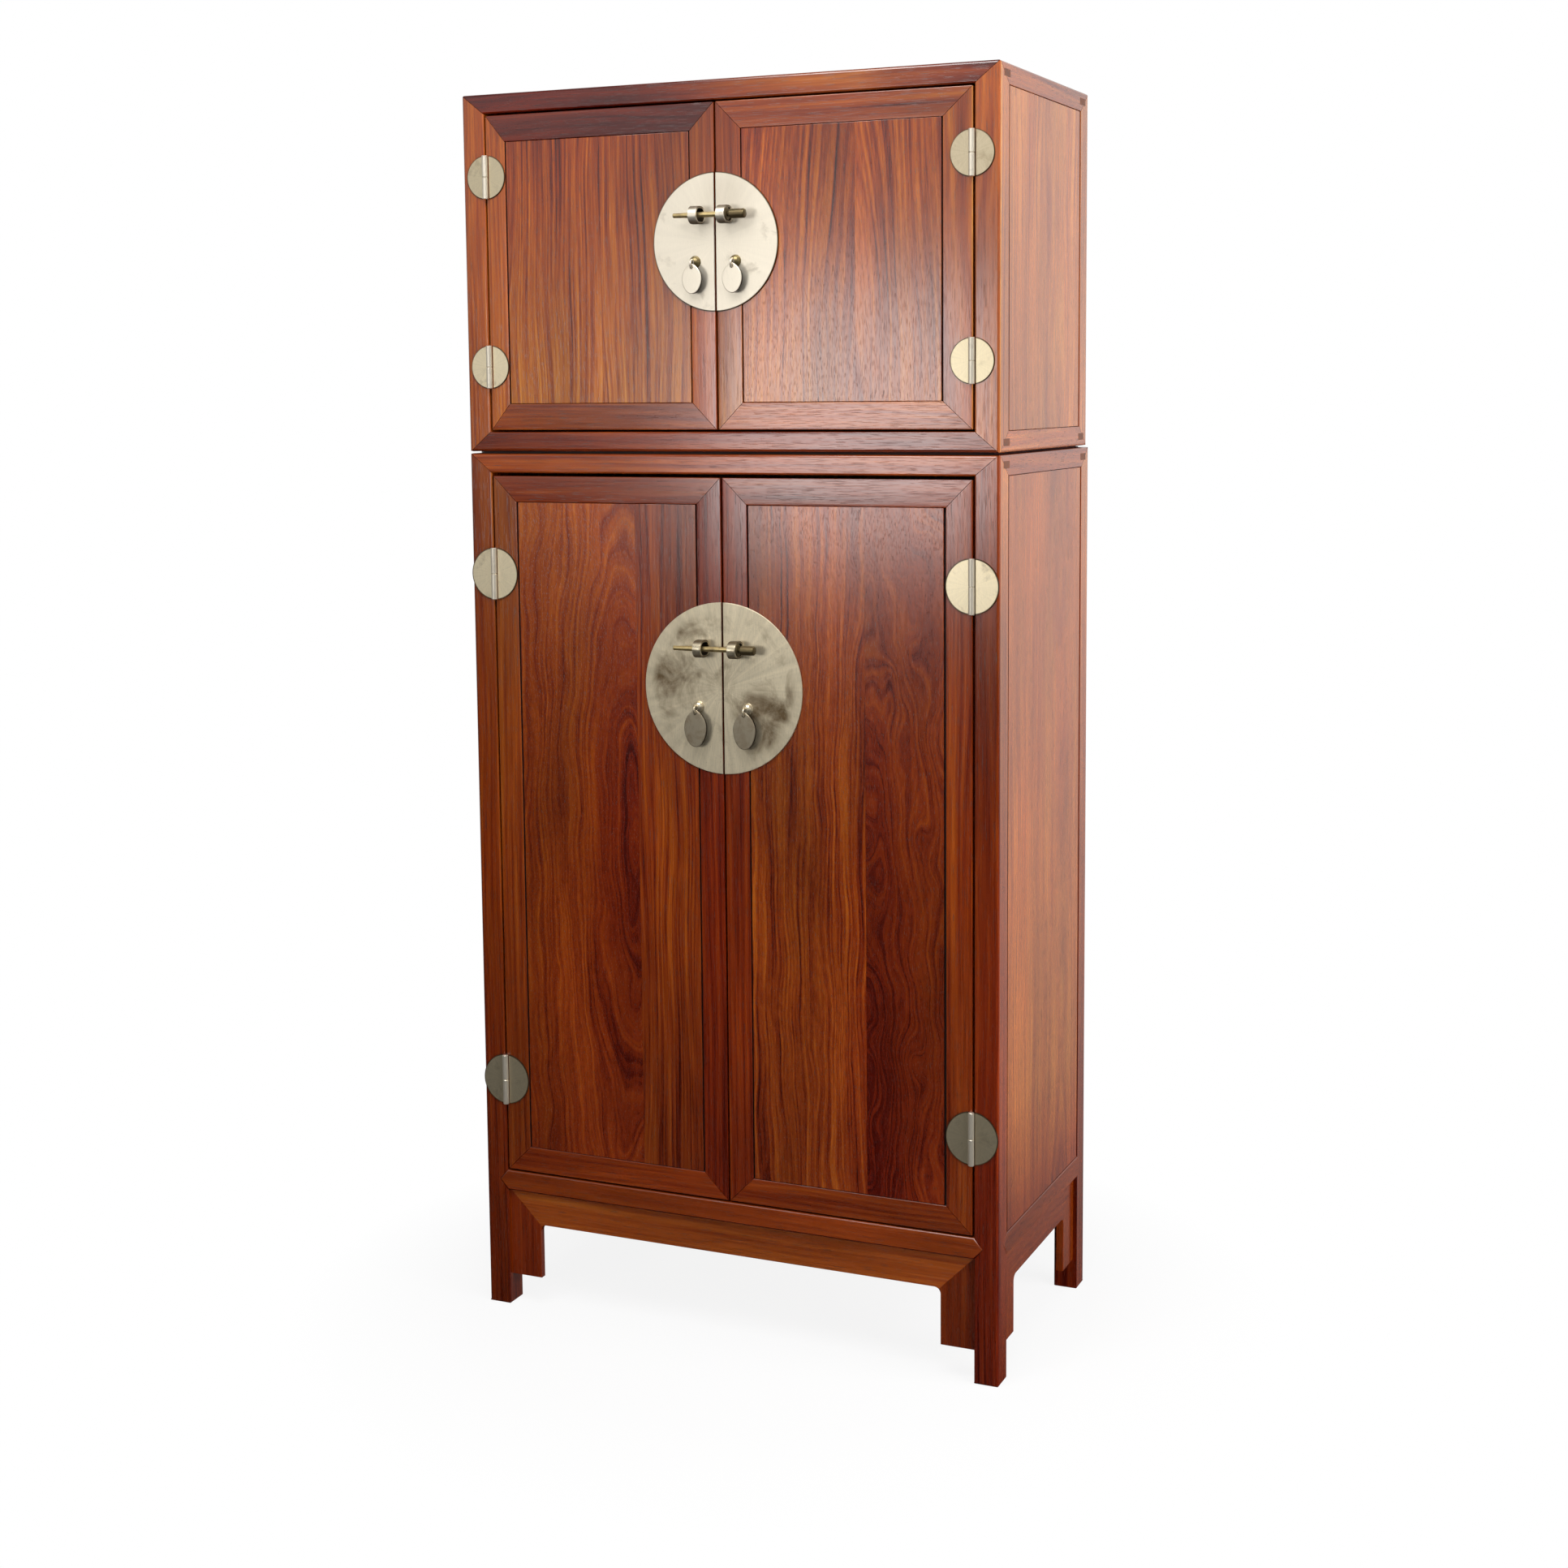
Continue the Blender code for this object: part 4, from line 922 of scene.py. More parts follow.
def build_wood_figure():
    """Rings round the heart, streaks, fibres and pores, all from the grain attribute."""
    inputs = (("Grain", "Vector"), ("Rings per Metre", "Float"), ("Wander", "Float"), ("Burl", "Float"))
    outputs = ("Rings", "Streaks", "Flecks", "Cloud", "Heart", "Fibre", "Pores", "Height")
    tree, given, result = start_group("rosewood_figure", inputs, outputs)
    grain = given["Grain"]
    moved = grain
    for pace, amount in ((WANDER_PACE, given["Wander"]), (BURL_PACE, given["Burl"])):
        wander = stretched_noise(tree, grain, pace, 1.0, 0.35)["Color"]
        centred = vector_math(tree, "SUBTRACT", {0: wander, 1: (0.5, 0.5, 0.5)})
        pushed = vector_math(tree, "SCALE", {0: centred, "Scale": amount})
        moved = vector_math(tree, "ADD", {0: moved, 1: pushed})
    flat = vector_math(tree, "MULTIPLY", {0: moved, 1: (0.0, 1.0, 1.0)})
    far = vector_math(tree, "LENGTH", {0: flat})
    ring_at = reckon(tree, "MULTIPLY", far, given["Rings per Metre"])
    parts = add_node(tree, "ShaderNodeSeparateXYZ", {0: grain}).outputs
    slow = reckon(tree, "MULTIPLY", parts["X"], RING_DRIFT)
    ring_place = add_node(tree, "ShaderNodeCombineXYZ", {0: ring_at, 1: slow}).outputs[0]
    rings = add_node(tree, "ShaderNodeTexNoise", {"Vector": ring_place, "Scale": 1.0, "Detail": 3.0,
                                                  "Roughness": 0.58}, noise_dimensions="2D").outputs["Fac"]
    fibre = stretched_noise(tree, grain, FIBRE_PACE, 2.0)["Fac"]
    pores = between(tree, stretched_noise(tree, grain, PORE_PACE, 0.0)["Fac"], *PORE_LEVELS)
    set_inputs(tree, result, {
        "Rings": rings,
        "Streaks": stretched_noise(tree, moved, STREAK_PACE, 2.0)["Fac"],
        "Flecks": stretched_noise(tree, moved, FLECK_PACE, 1.5)["Fac"],
        "Cloud": stretched_noise(tree, grain, CLOUD_PACE, 2.0)["Fac"],
        "Heart": between(tree, far, *HEART_REACH),
        "Fibre": fibre,
        "Pores": pores,
        "Height": reckon(tree, "SUBTRACT", fibre, pores),
    })


def build_brass_patina():
    """Rubbing marks, tarnish, and on a round plate the way from its middle, its rays of painted sheen and its
    dark sides.
    """
    inputs = (("Place", "Vector"), ("Dial", "Vector"), ("Patch Size", "Float"))
    outputs = ("Rubbing", "Tarnish", "Spots", "Reach", "Rays", "Shade", "Bloom")
    tree, given, result = start_group("brass_patina", inputs, outputs)
    place, dial = given["Place"], given["Dial"]
    size = reckon(tree, "DIVIDE", 1.0, given["Patch Size"])
    patch_place = vector_math(tree, "SCALE", {0: place, "Scale": size})
    tarnish = add_node(tree, "ShaderNodeTexNoise", {"Vector": patch_place, "Scale": 1.0, "Detail": 6.0,
                                                    "Roughness": 0.62, "Distortion": 0.5}).outputs["Fac"]
    parts = add_node(tree, "ShaderNodeSeparateXYZ", {0: dial}).outputs
    turn = reckon(tree, "ARCTAN2", parts["X"], parts["Z"])
    ray_place = add_node(tree, "ShaderNodeCombineXYZ", {0: turn}).outputs[0]
    patches = []
    for across, up, radius in (*PLATE_SHADES, PLATE_BLOOM):
        far = vector_math(tree, "DISTANCE", {0: dial, 1: (across, 0.0, up)})
        patches.append(between(tree, far, radius, radius * PATCH_CORE))
    bloom = patches.pop()
    shade = patches.pop()
    for patch in patches:
        shade = reckon(tree, "MAXIMUM", shade, patch)
    set_inputs(tree, result, {
        "Rubbing": stretched_noise(tree, place, RUBBING_PACE, 3.0, 0.6)["Fac"],
        "Tarnish": tarnish,
        "Spots": between(tree, stretched_noise(tree, place, SPOT_PACE, 1.0)["Fac"], *SPOT_LEVELS),
        "Reach": vector_math(tree, "LENGTH", {0: dial}),
        "Rays": stretched_noise(tree, ray_place, RAY_PACE, 2.0)["Fac"],
        "Shade": shade,
        "Bloom": bloom,
    })


def start_material(name):
    material = bpy.data.materials.new(name)
    material.use_nodes = True
    return material.node_tree, material.node_tree.nodes["Principled BSDF"]


def ramp(tree, value, stops):
    node = add_node(tree, "ShaderNodeValToRGB", {"Fac": value})
    elements = node.color_ramp.elements
    while len(elements) < len(stops):
        elements.new(0.5)
    for element, (place, colour) in zip(elements, stops):
        element.position = place
        element.color = (*colour, 1.0)
    return node.outputs["Color"]


def scale_colour(tree, colour, value):
    return vector_math(tree, "SCALE", {0: colour, "Scale": value})


def tinted(tree, colour, figure, tints):
    for label, spans in tints.items():
        colour = scale_colour(tree, colour, between(tree, figure[label], *spans))
    return colour


def bumps(tree, height, strength, distance):
    inputs = {"Height": height, "Strength": strength, "Distance": distance}
    return add_node(tree, "ShaderNodeBump", inputs).outputs[0]


def wood_figure(tree, rings_per_metre, wander):
    return add_group(tree, "rosewood_figure", {
        "Grain": attribute(tree, "grain", "Vector"),
        "Rings per Metre": rings_per_metre,
        "Wander": wander,
        "Burl": reckon(tree, "MULTIPLY", attribute(tree, "burl"), BURL_PUSH),
    })


def build_rosewood(name, rings_per_metre, wander, dark_share, span):
    """Polished rosewood: the figure sets the colour, the fibres and pores the gloss and the bump."""
    finish = bpy.context.scene.cabinet_finish
    roughness = finish.wood_gloss
    tree, shader = start_material(name)
    figure = wood_figure(tree, rings_per_metre, wander)
    drawn = reckon(tree, "MULTIPLY", figure["Rings"], RING_SHARE)
    for label, share in FIGURE_SHARES.items():
        drawn = reckon(tree, "ADD", drawn, reckon(tree, "MULTIPLY", figure[label], share))
    drawn = between(tree, drawn, 0.5 - span, 0.5 + span, -0.5, 0.5)
    drawn = reckon(tree, "ADD", reckon(tree, "MULTIPLY", drawn, attribute(tree, "bold")), 0.5)
    colour = ramp(tree, drawn, ((0.06, finish.wood_deep), (0.24 + dark_share, finish.wood_dark),
                                (0.52 + dark_share, finish.wood_mid), (0.92, finish.wood_pale)))
    tone = attribute(tree, "tone")
    power = reckon(tree, "ADD", tone, between(tree, figure["Heart"], 0.0, 1.0, 0.0, HEART_DARKENS))
    colour = add_node(tree, "ShaderNodeGamma", {"Color": colour, "Gamma": power}).outputs[0]
    gloss = between(tree, figure["Fibre"], 0.2, 0.8, roughness - 0.05, roughness + 0.05)
    gloss = reckon(tree, "ADD", gloss, between(tree, figure["Pores"], 0.0, 1.0, 0.0, 0.12))
    set_inputs(tree, shader, {
        "Base Color": tinted(tree, colour, figure, ROSEWOOD_TINTS),
        "Roughness": reckon(tree, "ADD", gloss, between(tree, tone, *DULL_POWERS, 0.0, 0.5)),
        "Specular IOR Level": finish.wood_polish,
        "Coat Weight": between(tree, tone, *DULL_POWERS, finish.wax, 0.0),
        "Coat Roughness": roughness,
        "Normal": bumps(tree, figure["Height"], 0.16, 0.0004),
    })


def build_inner_wood():
    """Plain oiled boards for the inside, the backs, the tops and the shelf."""
    ground = bpy.context.scene.cabinet_finish.inner_wood
    tree, shader = start_material("plain_inner_boards")
    figure = wood_figure(tree, rings_per_metre=46.0, wander=0.03)
    deep = [value * 0.52 for value in ground]
    pale = [min(1.0, value * 1.35) for value in ground]
    drawn = between(tree, figure["Rings"], 0.30, 0.70)
    colour = ramp(tree, drawn, ((0.15, deep), (0.55, ground), (0.95, pale)))
    set_inputs(tree, shader, {
        "Base Color": tinted(tree, colour, figure, PLAIN_TINTS),
        "Roughness": between(tree, figure["Fibre"], 0.2, 0.8, 0.52, 0.68),
        "Normal": bumps(tree, figure["Height"], 0.25, 0.0004),
    })


def build_end_grain():
    """The ends of the through tenons: dark, with open pores and no length to the fibre."""
    ground = bpy.context.scene.cabinet_finish.end_grain
    tree, shader = start_material("tenon_end_grain")
    place = add_node(tree, "ShaderNodeTexCoord").outputs["Object"]
    mottle = stretched_noise(tree, place, MOTTLE_PACE, 3.0, 0.6)["Fac"]
    pores = stretched_noise(tree, place, END_PORE_PACE, 1.0)["Fac"]
    deep = [value * 0.45 for value in ground]
    colour = ramp(tree, mottle, ((0.30, deep), (0.70, ground)))
    set_inputs(tree, shader, {
        "Base Color": scale_colour(tree, colour, between(tree, pores, 0.55, 0.70, 1.0, 0.5)),
        "Roughness": between(tree, mottle, 0.3, 0.7, 0.40, 0.55),
        "Normal": bumps(tree, pores, 0.2, 0.0003),
    })


def build_brass(name, brass):
    """Rubbed brass with tarnish, painted sheen in rays, painted shade at rims; a ringed plate keeps a cleaner
    band round its rim.
    """
    wear = brass.wear
    finish = bpy.context.scene.cabinet_finish
    tree, shader = start_material(name)
    patina = add_group(tree, "brass_patina", {
        "Place": add_node(tree, "ShaderNodeTexCoord").outputs["Object"],
        "Dial": attribute(tree, "dial", "Vector"),
        "Patch Size": brass.patch,
    })
    tarnish = patina["Tarnish"]
    if brass.ringed:
        tarnish = reckon(tree, "ADD", tarnish, between(tree, patina["Shade"], 0.0, 1.0, -0.10, 0.20))
    tarnish = between(tree, tarnish, brass.patch_from, brass.patch_to)
    if brass.ringed:
        tarnish = reckon(tree, "MULTIPLY", tarnish, between(tree, patina["Reach"], 0.84, 0.93, 1.0, 0.20))
    tarnish = reckon(tree, "MAXIMUM", tarnish, reckon(tree, "MULTIPLY", patina["Spots"], 0.25 * wear))
    if brass.bloom:
        tarnish = reckon(tree, "MAXIMUM", tarnish, reckon(tree, "MULTIPLY", patina["Bloom"], brass.bloom))
    # A dark rim: tarnish at a plate's edge with a painted edge shadow, and painted shade at a staple's top
    # and foot.
    if brass.rim:
        rim = between(tree, patina["Reach"], 1.0 - brass.rim, 1.0 - 0.4 * brass.rim)
        tarnish = reckon(tree, "MAXIMUM", tarnish, rim)
    # A mix node's inputs 6 and 7 and its output 2 are the ones that carry colours.
    clean, dull = (*getattr(finish, brass.ground), 1.0), (*finish.tarnish, 1.0)
    mixed = add_node(tree, "ShaderNodeMix", {"Factor": tarnish, 6: clean, 7: dull}, data_type="RGBA")
    # The rays lighten and darken the brass round a plate: a painted sunburst sheen along its brushing.
    tints = {
        "Rubbing": (0.25, 0.75, 1.0 - 0.16 * wear, 1.0 + 0.10 * wear),
        "Rays": (0.3, 0.7, 1.0 - 0.12 * wear, 1.0 + 0.10 * wear),
        "Reach": PAINTED_SHADE_SIDES,
    }
    colour = tinted(tree, mixed.outputs[2], patina, tints)
    # The rim's colour darkens further: painted edge shadow.
    if brass.rim:
        edge = (1.0 - 0.9 * brass.rim, 1.0 - 0.2 * brass.rim, 1.0, 0.40)
        colour = tinted(tree, colour, patina, {"Reach": edge})
    rough = between(tree, patina["Rubbing"], 0.25, 0.75, brass.roughness - 0.05 * wear,
                    brass.roughness + 0.06 * wear)
    set_inputs(tree, shader, {
        "Base Color": colour,
        "Metallic": brass.metal,
        "Roughness": reckon(tree, "ADD", rough, reckon(tree, "MULTIPLY", tarnish, 0.16)),
        "Normal": bumps(tree, patina["Rubbing"], 0.10 * wear, 0.0002),
    })


class CABINET_OT_finishes(bpy.types.Operator):
    """Make the rosewood, the inner wood and the brass"""
    bl_idname = "cabinet.finishes"
    bl_label = "Finishes"

    def execute(self, context):
        build_wood_figure()
        build_brass_patina()
        build_rosewood("rosewood_frames", rings_per_metre=150.0, wander=0.016, dark_share=0.02, span=0.30)
        build_rosewood("rosewood_panels", rings_per_metre=165.0, wander=0.040, dark_share=0.0, span=0.18)
        build_inner_wood()
        build_end_grain()
        for name, brass in BRASSES.items():
            build_brass(name, brass)
        return {"FINISHED"}


class CABINET_OT_posts(bpy.types.Operator):
    """Build the eight posts with their mitred ends and eased feet"""
    bl_idname = "cabinet.posts"
    bl_label = "Posts"

    def execute(self, context):
        for case in (LOWER, UPPER):
            for side in (LEFT, RIGHT):
                for end in (-1, 1):
                    self.build_post(context.scene.cabinet_joinery, case, side, end)
        return {"FINISHED"}

    def build_post(self, sizes, case, side, end):
        outer = Vector((case.high.x if side > 0 else case.low.x, case.high.y if end > 0 else case.low.y, 0.0))
        inner = Vector((outer.x - side * case.post.x, outer.y - end * case.post.y, 0.0))
        low = Vector((min(outer.x, inner.x), min(outer.y, inner.y), case.low.z))
        high = Vector((max(outer.x, inner.x), max(outer.y, inner.y), case.high.z))
        bm = box_mesh(low, high)
        opening = sizes.opening_arris if end < 0 else sizes.small_arris
        if case is LOWER:
            round_over(bm, rim_edges(bm, Z, low.z), sizes.foot_arris, 3)
        round_over(bm, edges_at(bm, Z, {X: outer.x, Y: outer.y}), sizes.post_arris)
        round_over(bm, edges_at(bm, Z, {X: inner.x, Y: outer.y}), opening)
        round_over(bm, edges_at(bm, Z, {X: outer.x, Y: inner.y}), sizes.small_arris, 3)
        round_over(bm, edges_at(bm, Z, {X: inner.x, Y: inner.y}), sizes.small_arris, 3)
        keep = Vector(((low.x + high.x) / 2, (low.y + high.y) / 2, (case.base_high + case.top_low) / 2))
        ends = [(case.top_low, case.high.z)]
        if case is UPPER:
            ends.append((case.base_high, case.low.z))
        for inner.z, outer.z in ends:
            mitre(bm, Y, inner, outer, keep, sizes.mitre_gap)
            mitre(bm, X, inner, outer, keep, sizes.mitre_gap)
        if case is LOWER:
            boards = [arrow_board(case, side, ARROW_ROOM)]
            if end < 0:
                boards.append(arrow_board(case, 0, ARROW_ROOM))
            bm = notch(bm, boards)

        def own_tone(co):
            up = (co.z - low.z) / (high.z - low.z)
            from_side = abs(co.x - outer.x)
            if from_side < TOUCH:
                return part_way(*POST_SIDE_TONES[case.name], up)
            # A painted highlight along the upper front posts' outer arris.
            if case is UPPER and end < 0 and from_side < sizes.post_arris * ARRIS_HIGHLIGHT_SHARE:
                return ARRIS_HIGHLIGHT_TONE
            # The lower left front post's inner arris carries a painted highlight.
            in_arris = TOUCH < abs(co.x - inner.x) < opening - TOUCH and abs(co.y - outer.y) < opening
            if in_arris and case is LOWER and side == LEFT and end < 0:
                return part_way(*LIT_ARRIS, up)
            return None

        name = f"{case.name}_post_{'front' if end < 0 else 'back'}_{SIDE_NAMES[side]}"
        add_piece(f"{name}_timber", bm, case.body, *FRAME_WOOD, [name], (Z, Y), own_tone=own_tone)


class CABINET_OT_case_rails(bpy.types.Operator):
    """Build the mitred top and base frames and the tenon ends that show"""
    bl_idname = "cabinet.case_rails"
    bl_label = "Case rails"

    def execute(self, context):
        sizes = context.scene.cabinet_joinery
        for case, level in ((LOWER, "top"), (UPPER, "top"), (UPPER, "base")):
            for axis in (X, Y):
                for end in (-1, 1):
                    self.build_rail(sizes, case, level, axis, end)
            for side in (LEFT, RIGHT):
                for end in (-1, 1):
                    self.build_tenon_end(case, level, side, end)
        return {"FINISHED"}

    def build_rail(self, sizes, case, level, axis, end):
        """A rail that runs along an axis, at the low or high end of the other one."""
        out = Y if axis == X else X
        low, high = case.low.copy(), case.high.copy()
        inner_z, outer_z = (case.top_low, case.high.z) if level == "top" else (case.base_high, case.low.z)
        low.z, high.z = min(inner_z, outer_z), max(inner_z, outer_z)
        outer_face = high[out] if end > 0 else low[out]
        inner_face = outer_face - end * case.post[out]
        low[out], high[out] = min(outer_face, inner_face), max(outer_face, inner_face)
        meets = (case.name, level) in (("lower", "top"), ("upper", "base"))
        shown_z = outer_z - math.copysign(REBATE_HEIGHT[axis] if meets else 0.0, outer_z - inner_z)
        section = [(outer_face, inner_z), (outer_face, shown_z), (inner_face, outer_z), (inner_face, inner_z)]
        if meets:
            step = outer_face - end * REBATE_DEPTH
            section[2:2] = [(step, shown_z), (step, outer_z)]
        bm = self.rail_along(axis, out, low[axis], high[axis], section)
        front = axis == X and end < 0
        round_over(bm, edges_at(bm, axis, {out: outer_face, Z: shown_z}), sizes.rail_arris)
        round_over(bm, edges_at(bm, axis, {out: outer_face, Z: inner_z}),
                   sizes.opening_arris if front else sizes.small_arris)
        round_over(bm, edges_at(bm, axis, {out: inner_face, Z: outer_z}), sizes.small_arris, 3)
        keep = (low + high) / 2
        for along_end in (-1, 1):
            outer = Vector((0.0, 0.0, outer_z))
            inner = Vector((0.0, 0.0, inner_z))
            outer[out], inner[out] = outer_face, inner_face
            outer[axis] = case.high[axis] if along_end > 0 else case.low[axis]
            inner[axis] = outer[axis] - along_end * case.post[axis]
            mitre(bm, out, inner, outer, keep, sizes.mitre_gap)
            mitre(bm, Z, inner, outer, keep, sizes.mitre_gap)
        place = {(X, -1): "front", (X, 1): "back", (Y, -1): "left", (Y, 1): "right"}[axis, end]
        node = f"{case.name}_{level}_frame"
        name = f"{node}_{place}_rail"
        stops = fitting(TONE_STOPS, name, ())
        cut_at_stops(bm, axis, stops)

        def own_tone(co):
            # The far part of the rebate is painted in shade, so that the gap between the cases reads dark.
            deep = (outer_face - co[out]) * end
            in_rebate = meets and abs(co.z - outer_z) < REBATE_HEIGHT[axis] + TOUCH
            if in_rebate and REBATE_SHADE_FROM < deep < REBATE_DEPTH + TOUCH:
                return GROOVE_SHADE_TONE
            return tone_at(stops, co[axis]) if stops else None

        add_piece(name, bm, case.body, *FRAME_WOOD, [node], (axis, out), own_tone=own_tone)

    def rail_along(self, axis, out, start, end, section):
        """A bar of the given section, its points given outwards and upwards."""
        bm = bmesh.new()
        points = []
        for outward, up in section:
            point = Vector((start, start, up))
            point[out] = outward
            points.append(point)
        extrude_faces(bm, [outline_face(bm, points)], axis_vector(axis, end - start))
        bmesh.ops.recalc_face_normals(bm, faces=bm.faces)
        return bm

    def build_tenon_end(self, case, level, side, end):
        """The end of a through tenon, let into the side of a side rail."""
        face = case.high.x if side > 0 else case.low.x
        corner = case.high.y if end > 0 else case.low.y
        middle = (case.top_low + case.high.z) / 2 if level == "top" else (case.low.z + case.base_high) / 2
        near, far = corner - end * TENON_NEAR, corner - end * TENON_FAR
        back = face - side * TENON_DEPTH
        low = Vector((min(face, back), min(near, far), middle - TENON_HALF))
        high = Vector((max(face, back), max(near, far), middle + TENON_HALF))
        shown = high if side > 0 else low
        shown.x += side * TENON_PROUD
        bm = box_mesh(low, high)
        round_over(bm, rim_edges(bm, X, shown.x), TENON_EASE, 2)
        where = f"{'front' if end < 0 else 'back'}_{SIDE_NAMES[side]}"
        add_piece(f"{case.name}_{level}_tenon_end_{where}", bm, case.body, "frame_wood", "tenon_end_grain")


class CABINET_OT_base_rails(bpy.types.Operator):
    """Build the lower cabinet's base rails with their pointed face boards"""
    bl_idname = "cabinet.base_rails"
    bl_label = "Base rails"

    def execute(self, context):
        case = LOWER
        node = "lower_base_frame"

        # The foot of the front face is painted with a shadow line.
        def own_tone(co):
            return FOOT_SHADOW_TONE if co.z < case.base_low + FOOT_LINE else None

        for side, name in ((0, "front"), (LEFT, "left"), (RIGHT, "right")):
            grain = (X, Y) if side == 0 else (Y, X)
            bm = arrow_board(case, side)
            add_piece(f"base_rail_{name}_face", bm, case.body, *FRAME_WOOD, [node], grain,
                      own_tone=own_tone if side == 0 else None)
        inside = Vector((case.low.x + case.post.x, case.low.y + case.post.y, case.base_low))
        across = Vector((case.high.x - case.post.x, case.high.y - case.post.y, case.base_high))
        rails = {
            "front": ((inside.x, case.low.y + ARROW_DEPTH), (across.x, case.low.y + BASE_RAIL_DEPTH), X, Y),
            "back": ((inside.x, case.high.y - BASE_RAIL_DEPTH), (across.x, case.high.y), X, Y),
            "left": ((case.low.x + ARROW_DEPTH, inside.y), (case.low.x + BASE_RAIL_DEPTH, across.y), Y, X),
            "right": ((case.high.x - BASE_RAIL_DEPTH, inside.y), (case.high.x - ARROW_DEPTH, across.y), Y, X),
        }
        for name, (start, end, axis, out) in rails.items():
            bm = box_mesh(Vector((*start, case.base_low)), Vector((*end, case.base_high)))
            round_over(bm, [edge for edge in bm.edges if runs_along(edge, axis)], BASE_RAIL_EASE, 2)
            add_piece(f"base_rail_{name}", bm, case.body, *FRAME_WOOD, [node], (axis, out))
        return {"FINISHED"}


class CABINET_OT_aprons(bpy.types.Operator):
    """Build the three aprons, each an arch board and two mitred spandrels"""
    bl_idname = "cabinet.aprons"
    bl_label = "Aprons"

    def execute(self, context):
        for node, axis in (("front_apron", X), ("side_apron_left", Y), ("side_apron_right", Y)):
            for part in ("board", "spandrel_low", "spandrel_high"):
                self.build_part(node, axis, part)
        return {"FINISHED"}

    def build_part(self, node, axis, part):
        """The whole apron, cut at its mitres down to one of its three parts."""
        low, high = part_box(node)
        out = Y if axis == X else X
        first, last = low[axis], high[axis]
        middle = (first + last) / 2
        inner = (last - first) / 2 - APRON_TONGUE - SPANDREL_WIDTH
        outline = [(first, high.z), (first, low.z), (middle - inner, low.z), (middle - inner, APRON_ARCH),
                   (middle + inner, APRON_ARCH), (middle + inner, low.z), (last, low.z), (last, high.z)]
        shown = low[out] if node != "side_apron_right" else high[out]
        bm = bmesh.new()
        points = []
        for along, up in outline:
            point = Vector((shown, shown, up))
            point[axis] = along
            points.append(point)
        back = high[out] if shown == low[out] else low[out]
        extrude_faces(bm, [outline_face(bm, points)], axis_vector(out, back - shown))
        corners = edges_at(bm, out, {axis: middle - inner, Z: APRON_ARCH})
        corners += edges_at(bm, out, {axis: middle + inner, Z: APRON_ARCH})
        round_over(bm, corners, APRON_CORNER, 6)
        round_over(bm, rim_edges(bm, out, shown), APRON_ARRIS, 3)
        for end in (-1, 1):
            arch = Vector((0.0, 0.0, APRON_ARCH))
            arch[axis] = middle + end * inner
            top = arch.copy()
            top.z = high.z
            top[axis] += end * (high.z - APRON_ARCH)
            keep = arch.copy()
            if part == "board":
                keep[axis] = middle
                keep.z = high.z
            elif (part == "spandrel_high") == (end > 0):
                keep[axis] = last if end > 0 else first
            else:
                continue
            mitre(bm, out, arch, top, keep, APRON_MITRE_GAP)
        grain = (axis, out) if part == "board" else (Z, out)
        add_piece(f"{node}_{part}", bm, LOWER.body, *FRAME_WOOD, [node], grain)


class CABINET_OT_case_panels(bpy.types.Operator):
    """Build the panels of both cases and the shelf from boards"""
    bl_idname = "cabinet.case_panels"
    bl_label = "Case panels"

    def execute(self, context):
        for case in (LOWER, UPPER):
            for side in (LEFT, RIGHT):
                add_panel(f"{case.name}_side_panel_{SIDE_NAMES[side]}", case.body, *PANEL_WOOD, (X, side), Z,
                          SIDE_PANEL_BOARDS, SIDE_PANEL_GAPS)
            for place, face, axis, shares in PLAIN_PANELS:
                add_panel(f"{case.name}_{place}_panel", case.body, *INNER_WOOD, face, axis, shares,
                          PLAIN_PANEL_GAPS)
        self.build_shelf()
        return {"FINISHED"}

    def build_shelf(self):
        low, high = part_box("lower_shelf")
        joint = part_way(low.y, high.y, SHELF_JOINT)
        for index, (start, end) in enumerate(((low.y, joint), (joint + GLUE_LINE, high.y)), 1):
            bm = box_mesh(Vector((low.x, start, low.z)), Vector((high.x, end, high.z)))
            if index == 1:
                round_over(bm, edges_at(bm, X, {Y: low.y}), SHELF_ARRIS, 3)
            add_piece(f"lower_shelf_board_{index}", bm, LOWER.body, *INNER_WOOD, ["lower_shelf"], (X, Z))


